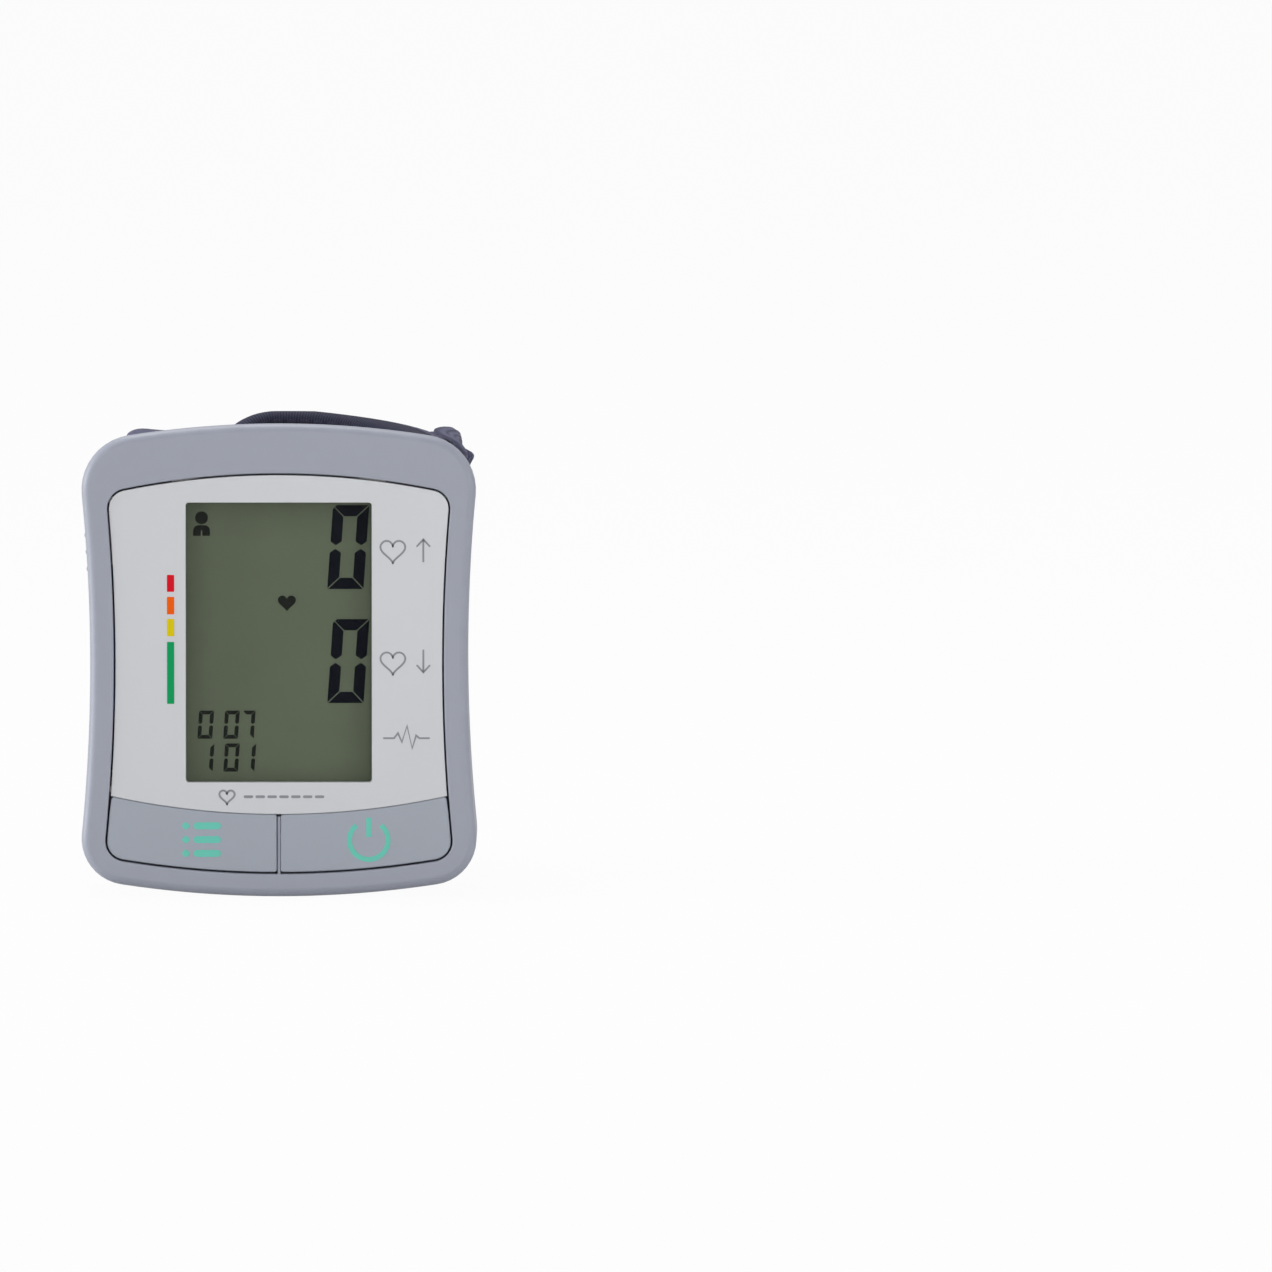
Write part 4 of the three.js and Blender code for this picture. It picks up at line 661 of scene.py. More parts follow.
# one skin of the rear cover, from the parting edge over the rounded rim to the middle of the back
def rearSkin(inset, extra, start, lip):
    size = rearSizes
    line = waisted(caseAt(start), inset)
    later = waisted(caseAt(start + size["fallSpan"]), inset)
    inner = waisted(caseAt(start), inset + 1.0)
    drawn = [(b[0] - a[0], b[1] - a[1]) for a, b in zip(line, inner)]
    places = range(len(line))

    def spot(index, move, depth):
        share = (depth - start) / size["fallSpan"]
        x = line[index][0] + (later[index][0] - line[index][0]) * share + drawn[index][0] * move
        z = line[index][1] + (later[index][1] - line[index][1]) * share + drawn[index][1] * move
        return at(x, depth, z)

    rings = [[spot(index, move, start + back) for index in places] for move, back, rub in lip]
    for angle in between(0, math.pi / 2, size["rimSteps"]):
        turned = []
        for index in places:
            x = line[index][0]
            rim = size["endRound"] + size["sideRound"] * ease(abs(x), size["roundFrom"], size["roundTo"])
            backX = x + drawn[index][0] * rim
            depth = backDepth(backX, extra) - rim * size["rimSquash"] * (1 - math.sin(angle))
            turned.append(spot(index, rim * (1 - math.cos(angle)), depth))
        rings.append(turned)
    middle = caseForm["top"] / 2
    edge = [(x / mm, z / mm) for x, y, z in rings[-1]]
    for share in size["backShares"]:
        shrunk = [(x * share, middle + (z - middle) * share) for x, z in edge]
        rings.append([at(x, backDepth(x, extra), z) for x, z in shrunk])
    return rings


screwPlaces = []
for screw in ("case_screw_1", "case_screw_2", "case_screw_3", "case_screw_4"):
    lowCorner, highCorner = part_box(screw)
    screwMiddle = (lowCorner + highCorner) / 2 / mm
    screwPlaces.append((screwMiddle.x, screwMiddle.z))
screwWell = dict(
    radius=2.6, wall=0.6, near=13.4, sunk=0.6, seat=20.0, bore=1.4, boreDepth=6, cutNear=15, cutFar=40
)


def makeRearShell():
    wall = caseSizes["wall"]
    lip = caseSizes["partingLip"][::-1]
    start = caseSizes["parting"] + caseSizes["fit"]
    inside = rearSkin(wall, wall, start, ((0, 0, 0),))
    outside = rearSkin(0, 0, start, lip)
    marks = [0] * len(inside) + [rub for inset, back, rub in lip]
    marks += [math.sin(angle) for angle in between(0, math.pi, rearSizes["rimSteps"])]
    marks += [0] * len(rearSizes["backShares"])
    shell = skin("rearShell", inside[::-1] + outside, marks=marks)
    carve(shell, doorCutter())
    for x, z in screwPlaces:
        carve(shell, rod("screwHole", x, z, screwWell["radius"], screwWell["cutNear"], screwWell["cutFar"]))
    return smooth(shell)


# tube under each screw hole: a rod, hollowed from its open end in two steps
def makeScrewWell(x, z, index):
    size = screwWell
    far = backDepth(abs(x) - size["radius"]) - size["sunk"]
    well = rod("screwWell%d" % index, x, z, size["radius"] + size["wall"], size["near"], far)
    editWith(well, "FACE", lambda face: face.normal.y > 0.9)
    hollows = ((size["wall"], size["seat"] - far), (size["radius"] - size["bore"], -size["boreDepth"]))
    for rim, push in hollows:
        bpy.ops.mesh.inset(thickness=rim * mm)
        bpy.ops.mesh.extrude_region_move(TRANSFORM_OT_translate=dict(value=(0, push * mm, 0)))
    bpy.ops.object.mode_set(mode="OBJECT")
    return smooth(well)


def makeBatteryDoor():
    size = doorSizes
    near = size["near"] - size["spare"]
    far = size["far"] + size["spare"]
    wall = size["thickness"]
    corners = ((0, near), (0, far), (wall, far), (wall, near))
    rings = [ring(caseForm, inset, depth) for inset, depth in corners]
    door = skin("batteryDoor", rings + rings[:1])
    blank = block("doorBlank", (size["cutLeft"], size["near"], size["low"]), (0, size["far"], size["high"]))
    parts = [softenEdges(carve(door, blank, "INTERSECT"), size["edge"])]
    for rise in size["grips"]:
        gripZ = size["high"] - size["gripDrop"] + rise
        grip = rod(
            "doorGrip", size["gripRadius"] / 2 - sideHalf(gripZ), gripZ, size["gripRadius"],
            size["near"] + size["gripMargin"], size["far"] - size["gripMargin"], size["gripSides"],
        )
        parts.append(softenEdges(grip, size["gripEdge"], 4, 60))
    return crisp(joinAll(parts, "batteryDoor"))


caseGrey = plastic("caseGrey", (0.281, 0.298, 0.356), rough=0.46, grain=0.11, depth=0.03, rub=0.3)
keyGrey = plastic("keyGrey", (0.285, 0.311, 0.364), rough=0.42, grain=0.1, depth=0.025, rub=0.25)

finishPiece(makeFrontShell(), "case", caseGrey, ["front_case"])
finishPiece(makeRearShell(), "case", caseGrey, ["rear_cover"])
for wellIndex, (wellX, wellZ) in enumerate(screwPlaces):
    finishPiece(makeScrewWell(wellX, wellZ, wellIndex + 1), "case", caseGrey)
finishPiece(makeBatteryDoor(), "battery_lid", caseGrey, ["battery_door"])
print("case shells made")


# face plate: the pocket's outline down to the arc of the key line
keyLine = dict(middle=14.7, radius=139, endPast=5)
plateSizes = dict(near=0.3, far=1.9, edge=0.1, lineSteps=60)
apertureSizes = dict(
    left=-16.45, low=20.4, right=16.45, high=70.0, corner=0.5, edge=0.16, cutNear=-2, cutFar=4, slack=0.2
)
keySizes = dict(
    near=0.12, far=4.1, lineGap=0.05, edge=0.22, corner=0.45, lineSteps=40, lineInset=1.0, sideInset=2,
    turn=((0.05, 0.7), (0.12, 0.4), (0.3, 0.2), (0.62, 0.1)),  # outer upper corner, from its sharp point
    rib=0.55, ribNear=0.32, ribLow=3.5, ribHigh=14.3, ribEdge=0.14, ribGap=(0.12, 0.04),
    stemX=14.8, stemZ=10.0, stemRadius=2.0, stemStart=4.0, stemEnd=5.8, stemEdge=0.2,
)


def keyLineZ(x, grow=0.0):
    radius = keyLine["radius"] + grow
    return keyLine["middle"] + keyLine["radius"] - math.sqrt(radius * radius - x * x)


def underLine(point, grow):
    return point[1] < keyLineZ(point[0], grow)


# where the pocket's right side meets the key line
def lineEnd(outline, grow):
    for a, b in zip(outline, outline[1:]):
        if a[0] > keyLine["endPast"] and underLine(a, grow) and not underLine(b, grow):
            low, high = 0.0, 1.0
            for _ in range(30):
                share = (low + high) / 2
                point = (a[0] + (b[0] - a[0]) * share, a[1] + (b[1] - a[1]) * share)
                low, high = (share, high) if underLine(point, grow) else (low, share)
            return point
    raise ValueError("the key line misses the pocket")


def makeFacePlate():
    outline = waisted(pocketForm, caseSizes["fit"])
    endX, endZ = lineEnd(outline, 0)
    line = between(-endX, endX, plateSizes["lineSteps"])
    upper = [point for point in outline if not underLine(point, 0)]
    right = [point for point in upper if point[0] >= 0]
    left = [point for point in upper if point[0] < 0]
    loop = [(x, keyLineZ(x)) for x in line] + right + left
    plate = tile("facePlate", loop, plateSizes["near"], plateSizes["far"], plateSizes["edge"])
    size = apertureSizes
    hole = roundedBox(size["left"], size["low"], size["right"], size["high"], size["corner"])
    carve(plate, tile("apertureCutter", hole, size["cutNear"], size["cutFar"], 0.01, 1))
    front = at(0, plateSizes["near"], 0)[1]

    # the front edge of the aperture
    def onRim(edge):
        for index in edge.vertices:
            x, y, z = plate.data.vertices[index].co
            inside = min(size["right"] - abs(x) / mm, z / mm - size["low"], size["high"] - z / mm)
            if abs(y - front) > 1e-6 or abs(inside) > size["slack"]:
                return False
        return True

    editWith(plate, "EDGE", onRim)
    bpy.ops.mesh.bevel(offset=size["edge"] * mm, segments=2, affect="EDGES")
    bpy.ops.object.mode_set(mode="OBJECT")
    return crisp(plate)


# one key: cap with softened rim, and the stem behind it
def makeKey(name, sign):
    size = keySizes
    gap = size["lineGap"]
    corner = size["corner"]
    outline = waisted(pocketForm, caseSizes["fit"])
    inner = size["rib"] / 2 + size["ribGap"][sign > 0]
    last = inner + corner
    endX, endZ = lineEnd(outline, gap)
    lower = [(x, z) for x, z in outline[:len(outline) // 2] if x > last and underLine((x, z), gap)]
    footZ = lower[0][1]
    headZ = keyLineZ(inner, gap)
    loop = arc(last, footZ + corner, corner, 180, 270, 5)
    loop += [(x, z) for x, z in lower if z < endZ - size["turn"][0][1] or x < endX - size["sideInset"]]
    loop += [(endX - across, endZ - down) for across, down in size["turn"]]
    first = endX - size["lineInset"]
    loop += [(x, keyLineZ(x, gap)) for x in between(first, last, size["lineSteps"])]
    loop += arc(last, headZ - corner, corner, 90, 180, 5)[1:]
    if sign < 0:
        loop = [(-x, z) for x, z in reversed(loop)]
    cap = tile(name, loop, size["near"], size["far"], size["edge"], 5)
    stem = rod(
        name, sign * size["stemX"], size["stemZ"], size["stemRadius"], size["stemStart"], size["stemEnd"]
    )
    return crisp(joinAll([cap, softenEdges(stem, size["stemEdge"])], name))


def makeKeyRib():
    size = keySizes
    half = size["rib"] / 2
    low = (-half, size["ribNear"], size["ribLow"])
    high = (half, caseSizes["pocketDepth"], size["ribHigh"])
    return crisp(softenEdges(block("keyRib", low, high), size["ribEdge"]))


plateSilver = plastic(
    "plateSilver", (0.534, 0.544, 0.568), rough=0.38, grain=0.09, depth=0.012, cloud=0.025, specular=0.45
)
finishPiece(makeFacePlate(), "case", plateSilver, ["face_plate"])
finishPiece(makeKeyRib(), "case", caseGrey)
finishPiece(makeKey("memoryKey", -1), "memory_key", keyGrey, ["memory_button"])
finishPiece(makeKey("powerKey", 1), "power_key", keyGrey, ["power_button"])
print("plate and keys made")


# printing: scale bars on the plate, symbols on the keys, small pictograms
inkColours = dict(
    mint=(0.15, 0.575, 0.46), red=(0.66, 0.004, 0.016), orange=(0.84, 0.11, 0.003),
    yellow=(0.68, 0.54, 0.004), green=(0.004, 0.305, 0.098), grey=(0.27, 0.275, 0.3),
)


def inkMaterial(name, colour, specular=0.1):
    return plastic(name, colour, rough=0.6, grain=0.07, depth=0.006, cloud=0.04, specular=specular)


inks = {ink: inkMaterial(ink + "Ink", colour) for ink, colour in inkColours.items()}
barSizes = dict(
    left=-19.79, right=-18.51, corner=0.12,
    bars=dict(red=(54.2, 57.2), orange=(50.2, 53.3), yellow=(46.3, 49.4), green=(34.3, 45.3)),
)
for ink, (barLow, barHigh) in barSizes["bars"].items():
    bar = roundedBox(barSizes["left"], barLow, barSizes["right"], barHigh, barSizes["corner"], 3)
    finishPiece(printMarks(ink + "Bar", [bar], plateSizes["near"]), "case", inks[ink])

memoryMark = dict(dotX=-16.5, left=-14.5, right=-10.9, rows=(7.75, 10.2, 12.65), stroke=1.25)
memoryRows = []
for rowZ in memoryMark["rows"]:
    rowEnds = [(memoryMark["left"], rowZ), (memoryMark["right"], rowZ)]
    memoryRows.append(strokeLoop(rowEnds, memoryMark["stroke"]))
    memoryRows.append(arc(memoryMark["dotX"], rowZ, memoryMark["stroke"] / 2, 0, 340, 17))
finishPiece(printMarks("memoryMark", memoryRows, keySizes["near"]), "memory_key", inks["mint"])

powerMark = dict(x=15.9, z=10.1, radius=3.42, stroke=0.88, gap=40, barLow=10.66, barHigh=14.1)
powerRing = arc(
    powerMark["x"], powerMark["z"], powerMark["radius"], 90 + powerMark["gap"], 450 - powerMark["gap"], 48
)
powerBar = [(powerMark["x"], powerMark["barLow"]), (powerMark["x"], powerMark["barHigh"])]
powerLoops = [strokeLoop(path, powerMark["stroke"], False) for path in (powerRing, powerBar)]
finishPiece(printMarks("powerMark", powerLoops, keySizes["near"]), "power_key", inks["mint"])


# half of a heart, from its tip to its notch
def heartHalf(x, z, size, sign):
    points = []
    for i in range(21):
        t = math.pi * (1 - i / 20)
        across = 16 * math.sin(t) ** 3
        up = 13 * math.cos(t) - 5 * math.cos(2 * t) - 2 * math.cos(3 * t) - math.cos(4 * t)
        points.append((x + sign * across * size / 32, z + up * size / 32))
    return points


def heartLoops(x, z, size, width):
    return [strokeLoop(heartHalf(x, z, size, sign), width) for sign in (-1, 1)]


# pictograms beside the display: heart with an arrow up, heart with an arrow down, a pulse line;
# under it a small heart and a row of dashes stand for stored readings
pictograms = dict(
    stroke=0.34, heartX=20.2, heart=4.4, hearts=((61.6, 1), (41.8, -1)),
    arrowX=25.6, tail=2.0, shaft=1.7, tip=1.9, barb=1.1, barbDrop=1.2, pulseZ=28.2,
    pulse=((18.6, 0), (20.4, 0), (21.1, 0.9), (21.8, -0.7), (22.7, 2.2), (23.6, -1.8), (24.3, 0.5), (24.9, 0),
           (26.6, 0)),
    smallX=-9.2, smallZ=17.9, smallHeart=2.7, smallStroke=0.36,
    dashLeft=-6.0, dashZ=17.8, dash=1.2, dashPitch=2.1, dashes=7, dashStroke=0.5, ink=0.03,
)


def pictogramLoops():
    size = pictograms
    pen = size["stroke"]
    arrowX = size["arrowX"]
    loops = []
    for z, rise in size["hearts"]:
        loops += heartLoops(size["heartX"], z, size["heart"], pen)
        tipZ = z + size["tip"] * rise
        barbZ = tipZ - size["barbDrop"] * rise
        shaft = [(arrowX, z - size["tail"] * rise), (arrowX, z + size["shaft"] * rise)]
        barbs = [(arrowX - size["barb"], barbZ), (arrowX, tipZ), (arrowX + size["barb"], barbZ)]
        loops += [strokeLoop(shaft, pen), strokeLoop(barbs, pen)]
    loops.append(strokeLoop([(x, size["pulseZ"] + z) for x, z in size["pulse"]], pen))
    loops += heartLoops(size["smallX"], size["smallZ"], size["smallHeart"], size["smallStroke"])
    for i in range(size["dashes"]):
        left = size["dashLeft"] + i * size["dashPitch"]
        dash = [(left, size["dashZ"]), (left + size["dash"], size["dashZ"])]
        loops.append(strokeLoop(dash, size["dashStroke"]))
    return loops


platePictograms = printMarks("platePictograms", pictogramLoops(), plateSizes["near"], pictograms["ink"])
finishPiece(platePictograms, "case", inks["grey"])
print("printing done")


# display: seven-segment numerals on the panel's front
lcdFront = (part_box("lcd_panel")[0].y - frontY) / mm
digitSegments = {"0": "abcdef", "1": "bc", "7": "abc"}
# slant in degrees, the rest as shares of a segment's width
digitStyle = dict(slant=4.0, gap=0.075, cut=0.28, middle=0.48, middleGap=0.16, point=0.36)


def digitLoops(digit, left, low, width, height, thick):
    gap, cut, middle, tip, point = [
        thick * digitStyle[key] for key in ("gap", "cut", "middle", "middleGap", "point")
    ]
    lean = math.tan(math.radians(digitStyle["slant"]))
    half = height / 2
    inset = tip + point
    far = width - thick
    shapes = {
        "a": [(gap + cut, height), (gap + cut * 0.4, height - cut * 0.6), (thick + gap, height - thick),
              (far - gap, height - thick), (width - gap, height)],
        "b": [(width, height - gap), (far, height - thick - gap), (far, half + inset),
              (width - middle, half + tip), (width, half + inset)],
        "c": [(width, half - inset), (width - middle, half - tip), (far, half - inset), (far, thick + gap),
              (width, gap)],
        "d": [(gap, 0), (width - gap, 0), (far - gap, thick), (thick + gap, thick)],
        "e": [(0, gap), (thick, thick + gap), (thick, half - inset), (middle, half - tip), (0, half - inset)],
        "f": [(0, half + inset), (middle, half + tip), (thick, half + inset), (thick, height - thick - gap),
              (cut * 0.5, height - gap - cut * 0.5), (0, height - gap - cut)],
    }
    loops = []
    for letter in digitSegments[digit]:
        loops.append([(left + x + z * lean, low + z) for x, z in shapes[letter]])
    return loops


# rows of numerals: low edge, height, segment width, then each numeral with its left edge and width
bigRows = [(54.45, 14.9, 1.98, [("0", 8.55, 6.42)]), (34.2, 14.9, 1.98, [("0", 8.55, 6.42)])]
smallRows = [
    (27.85, 5.0, 0.68, [("0", -14.5, 2.65), ("0", -9.9, 2.6), ("7", -6.8, 2.3)]),
    (22.0, 5.0, 0.68, [("1", -13.9, 2.1), ("0", -9.9, 2.6), ("1", -6.4, 2.0)]),
]


def rowLoops(rows):
    loops = []
    for low, height, thick, digits in rows:
        for digit, left, width in digits:
            loops += digitLoops(digit, left, low, width, height, thick)
    return loops


# user sign: a plain head over shoulders; beside the numerals a filled heart
userSign = dict(
    x=-13.7, head=67.1, headRadius=1.15, low=63.9, high=65.8, half=1.5, shoulder=1.0,
    slit=((-0.16, 0), (-0.1, 1.0), (0.1, 1.0), (0.16, 0)),
)
heartSign = dict(x=1.4, z=52.1, size=3.2)


def signLoops():
    size = userSign
    x = size["x"]
    low = size["low"]
    shoulder = size["shoulder"]
    left = x - size["half"]
    right = x + size["half"]
    head = arc(x, size["head"], size["headRadius"], 0, 345, 23)
    body = [(left, low)] + [(x + across, low + up) for across, up in size["slit"]] + [(right, low)]
    top = size["high"] - shoulder
    body += arc(right - shoulder, top, shoulder, 0, 90, 6) + arc(left + shoulder, top, shoulder, 90, 180, 6)
    halves = [heartHalf(heartSign["x"], heartSign["z"], heartSign["size"], sign) for sign in (-1, 1)]
    return [head, body, halves[0] + halves[1][::-1][1:-1]]


segmentInk = 0.04
segmentBlack = inkMaterial("segmentBlack", (0.004, 0.005, 0.009), 0.02)
segmentGrey = inkMaterial("segmentGrey", (0.013, 0.015, 0.013), 0.02)
bigNumerals = printMarks("bigNumerals", rowLoops(bigRows), lcdFront, segmentInk)
finishPiece(bigNumerals, "case", segmentBlack)
smallNumerals = printMarks("smallNumerals", rowLoops(smallRows) + signLoops(), lcdFront, segmentInk)
finishPiece(smallNumerals, "case", segmentGrey)


# reflective display film: fine speckle, clouding, and a painted shadow of the frame, darker under its top and
# left edges
lcdLook = dict(
    dark=(0.116, 0.139, 0.092), light=(0.134, 0.159, 0.108), speckle=0.93,
    topShade=0.88, topEdge=70, topInner=62, leftShade=0.84, leftEdge=-16.5, leftInner=-12,
)


def lcdMaterial():
    look = lcdLook
    material, tree, shader = newMaterial("lcdFilm")
    spot = objectSpot(tree)
    made = placeGroup(tree, grainGroup, Vector=spot, Grain_Size=0.08)
    base = tint(tree, made["Clouding"], shaded(look["dark"]), shaded(look["light"]))
    speckle = tint(tree, made["Height"], shaded((1, 1, 1), look["speckle"]), shaded((1, 1, 1)))
    base = tint(tree, 1.0, base, speckle, "MULTIPLY")
    split = node(tree, "ShaderNodeSeparateXYZ", Vector=spot).outputs
    # painted shade: the shadow of the frame's top and left edges is painted into the film's colour
    paintedShadeUnderTop = ramp(tree, split["Z"], look["topEdge"] * mm, look["topInner"] * mm, look["topShade"])
    paintedShadeBesideLeft = ramp(tree, split["X"], look["leftEdge"] * mm, look["leftInner"] * mm, look["leftShade"])
    paintedFrameShadow = sums(tree, "MULTIPLY", paintedShadeUnderTop, paintedShadeBesideLeft)
    base = tint(tree, paintedFrameShadow, (0.0, 0.0, 0.0, 1), base)
    fillIn(tree, shader, Base_Color=base, Specular_IOR_Level=0.05)
    roughen(tree, shader, made["Clouding"], 0.5, 0.6)
    return material


# thin clear window with a faint surface sheen
def windowMaterial():
    material, tree, shader = newMaterial("clearWindow")
    made = placeGroup(tree, grainGroup, Vector=objectSpot(tree), Grain_Size=2.0)
    base = tint(tree, made["Clouding"], (0.05, 0.055, 0.05, 1), (0.06, 0.065, 0.06, 1))
    fillIn(tree, shader, Base_Color=base, Alpha=0.02)
    roughen(tree, shader, made["Clouding"], 0.04, 0.1)
    return material


dress(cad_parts["lcd_panel"], lcdMaterial())
dress(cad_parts["display_window"], windowMaterial())
print("display made")


# the wrist loop: hollow back, round corners, straight sides, half-round far side
loopSizes = dict(backLine=61.2, backCentre=92.5, halfWidth=24, corner=12, farCentre=57.3)
cornerX = loopSizes["halfWidth"] - loopSizes["corner"]
cornerReach = loopSizes["backLine"] - loopSizes["corner"]
backTurn = math.asin(cornerX / cornerReach)
cornerY = loopSizes["backCentre"] - cornerReach * math.cos(backTurn)
backLength = loopSizes["backLine"] * backTurn
sideStart = backLength + loopSizes["corner"] * (math.pi / 2 - backTurn)
sideLength = loopSizes["farCentre"] - cornerY
farLength = loopSizes["halfWidth"] * math.pi / 2
halfLoop = sideStart + sideLength + farLength


def onArc(x, depth, radius, angle):
    return x + radius * math.cos(angle), depth + radius * math.sin(angle), math.cos(angle), math.sin(angle)


# place and outward direction by distance along the loop from the middle of the back, plus to the right
def loopStation(distance):
    size = loopSizes
    around = distance % (2 * halfLoop)
    if around > halfLoop:
        x, depth, nx, ny = loopStation(2 * halfLoop - around)
        return -x, depth, -nx, ny
    if around <= backLength:
        return onArc(0, size["backCentre"], size["backLine"], -math.pi / 2 + around / size["backLine"])
    if around <= sideStart:
        angle = -math.pi / 2 + backTurn + (around - backLength) / size["corner"]
        return onArc(cornerX, cornerY, size["corner"], angle)
    if around <= sideStart + sideLength:
        return size["halfWidth"], cornerY + around - sideStart, 1, 0
    angle = (around - sideStart - sideLength) / size["halfWidth"]
    return onArc(0, size["farCentre"], size["halfWidth"], angle)


def onLoop(distance, out, z):
    x, depth, nx, ny = loopStation(distance)
    return at(x + nx * out, depth + ny * out, z)


# how far a rounded end draws the edges in
def endInset(distance, end, size):
    left = abs(end - distance)
    if left >= size:
        return 0
    return size - math.sqrt(max(0, size * size - (size - left) ** 2))


def spread(low, high, step):
    return between(low, high, max(1, round((high - low) / step)))


# even steps that grow finer towards a rounded end
def roundedSpread(low, high, step, size, tailSteps=10):
    tail = [high - size * (1 - math.sin(angle)) for angle in between(0, math.pi / 2, tailSteps)]
    return spread(low, high - size, step)[:-1] + tail


# columns round a flat band: (on its second face or not, share of the height), and the map across them
def twoFaces(shares, tall):
    columns = [(False, share) for share in shares] + [(True, share) for share in reversed(shares[1:-1])]
    across = [2 * tall - share * tall if second else share * tall for second, share in columns]
    return columns, across + [2 * tall]


# shares of a height, with fine steps at both edges
def edgedShares(edge, steps):
    span = 1 - 2 * edge[-1]
    inner = [edge[-1] + span * i / steps for i in range(1, steps)]
    return list(edge) + inner + [1 - share for share in reversed(edge)]


# soft unevenness of cloth; its rates along and up and its seed stand in the sizes of each piece
def ripple(distance, z, alongRate, upRate, seed):
    return noise.noise(Vector((distance * alongRate, z * upRate, seed)))


# folded tape over the cuff's rim; its lip is given as out from the face, down from the rim
bindingSizes = dict(
    start=-26.5, pastEnd=0.6, inner=-0.75, outer=5.55, high=80.6, step=0.9, cornerSteps=18,
    roll=1.5, rollSteps=8, rollTrim=0.02, lip=((0.35, 2.6), (0.05, 2.45), (0, 1.9)),
    closed=0.35, closedOver=1.4, closedDrop=0.9, innerRow=1.1, outerRow=1.3,
    waver=0.05, waverTurn=2.3, drift=0.06, driftNoise=(0.13, 2.2, 0.4),
)

# cuff body: a crowned, sewn sleeve over the bladder, puckered along its bound edges
cuffSizes = dict(
    start=-26.2, end=92.7, low=0.75, high=79.85, thickness=4.8, crown=0.9, swell=11,
    edgeRound=2.4, endRound=10.7, startRound=2, rows=44, step=0.7, startSteps=8, startStep=0.6,
    pucker=0.16, puckerTurn=2.05, puckerFade=5, puckerFull=2.5,
    puckerStray=1.3, puckerNoise=(0.21, 0.05, 3.1),
    crease=0.34, creaseFrom=1, creaseTo=9, creaseNoise=(0.24, 0.03, 7.7),
    fine=0.5, fineNoise=(0.55, 0.06, 1.9), outerCrease=0.12, outerNoise=(0.18, 0.04, 4.4), outerPucker=0.6,
)

# the upper rim of the flap runs down towards the right side
rimDip = dict(start=5, slope=0.1, most=2.6, easeFrom=45, easeTo=70)


def rimFall(distance, z):
    past = halfLoop - distance
    fall = min(rimDip["most"], rimDip["slope"] * max(0, past - rimDip["start"]))
    return fall * (1 - ease(past, rimDip["easeFrom"], rimDip["easeTo"])) * z / bindingSizes["high"]


def fromCuffEnd(distance):
    return min(distance - cuffSizes["start"], cuffSizes["end"] - distance)


def sleeveRing(distance, columns):
    size = cuffSizes
    ends = ((size["end"], size["endRound"]), (size["start"], size["startRound"]))
    pulled = max(endInset(distance, end, corner) for end, corner in ends)
    low = size["low"] + pulled
    high = size["high"] - pulled
    fromEnd = fromCuffEnd(distance)
    close = roundOff(fromEnd, size["edgeRound"])
    swell = ease(fromEnd, 0, size["swell"])
    middle = size["thickness"] / 2
    points = []
    for outward, share in columns:
        z = low + (high - low) * share
        fromEdge = min(z - low, high - z)
        reach = middle * roundOff(fromEdge, size["edgeRound"]) * close
        pinch = math.exp(-fromEdge / size["puckerFade"]) * ease(fromEdge, 0, size["puckerFull"])
        stray = size["puckerStray"] * ripple(distance, z, *size["puckerNoise"])
        pucker = size["pucker"] * pinch * math.sin(distance * size["puckerTurn"] + stray)
        creased = ease(fromEdge, size["creaseFrom"], size["creaseTo"])
        if outward:
            sunk = size["outerCrease"] * (1 + ripple(distance, z, *size["outerNoise"])) * creased
            out = middle + reach - sunk - abs(pucker) * size["outerPucker"]
        else:
            folds = ripple(distance, z, *size["creaseNoise"])
            folds += size["fine"] * ripple(distance, z, *size["fineNoise"])
            dome = size["crown"] * math.sqrt(max(0, 4 * share * (1 - share))) * swell
            out = middle - reach - dome + size["crease"] * folds * swell * creased - pucker
        points.append(onLoop(distance, out, z - rimFall(distance, z)))
    return points


def makeSleeve():
    size = cuffSizes
    shares = [0.5 - 0.5 * math.cos(angle) for angle in between(0, math.pi, size["rows"])]
    columns, across = twoFaces(shares, size["high"] - size["low"])
    turns = between(0, math.pi / 2, size["startSteps"])
    stations = [size["start"] + size["edgeRound"] * (1 - math.cos(turn)) for turn in turns]
    stations += roundedSpread(stations[-1] + size["startStep"], size["end"], size["step"], size["endRound"])
    rings = [sleeveRing(distance, columns) for distance in stations]
    return smooth(skin("cuffSleeve", rings, across=across, along=stations), 60)


# the sleeve's inner face is let out and blown up a little, held along its seams and on its outer face
puffSizes = dict(frames=24, most=1.6, seam=2.5, free=9.0)
puffSettings = dict(
    quality=8, mass=0.05, tension_stiffness=8, compression_stiffness=8, shear_stiffness=3,
    bending_stiffness=0.05, use_pressure=True, uniform_pressure_force=6.0, vertex_group_mass="held",
    shrink_min=-0.045,
)


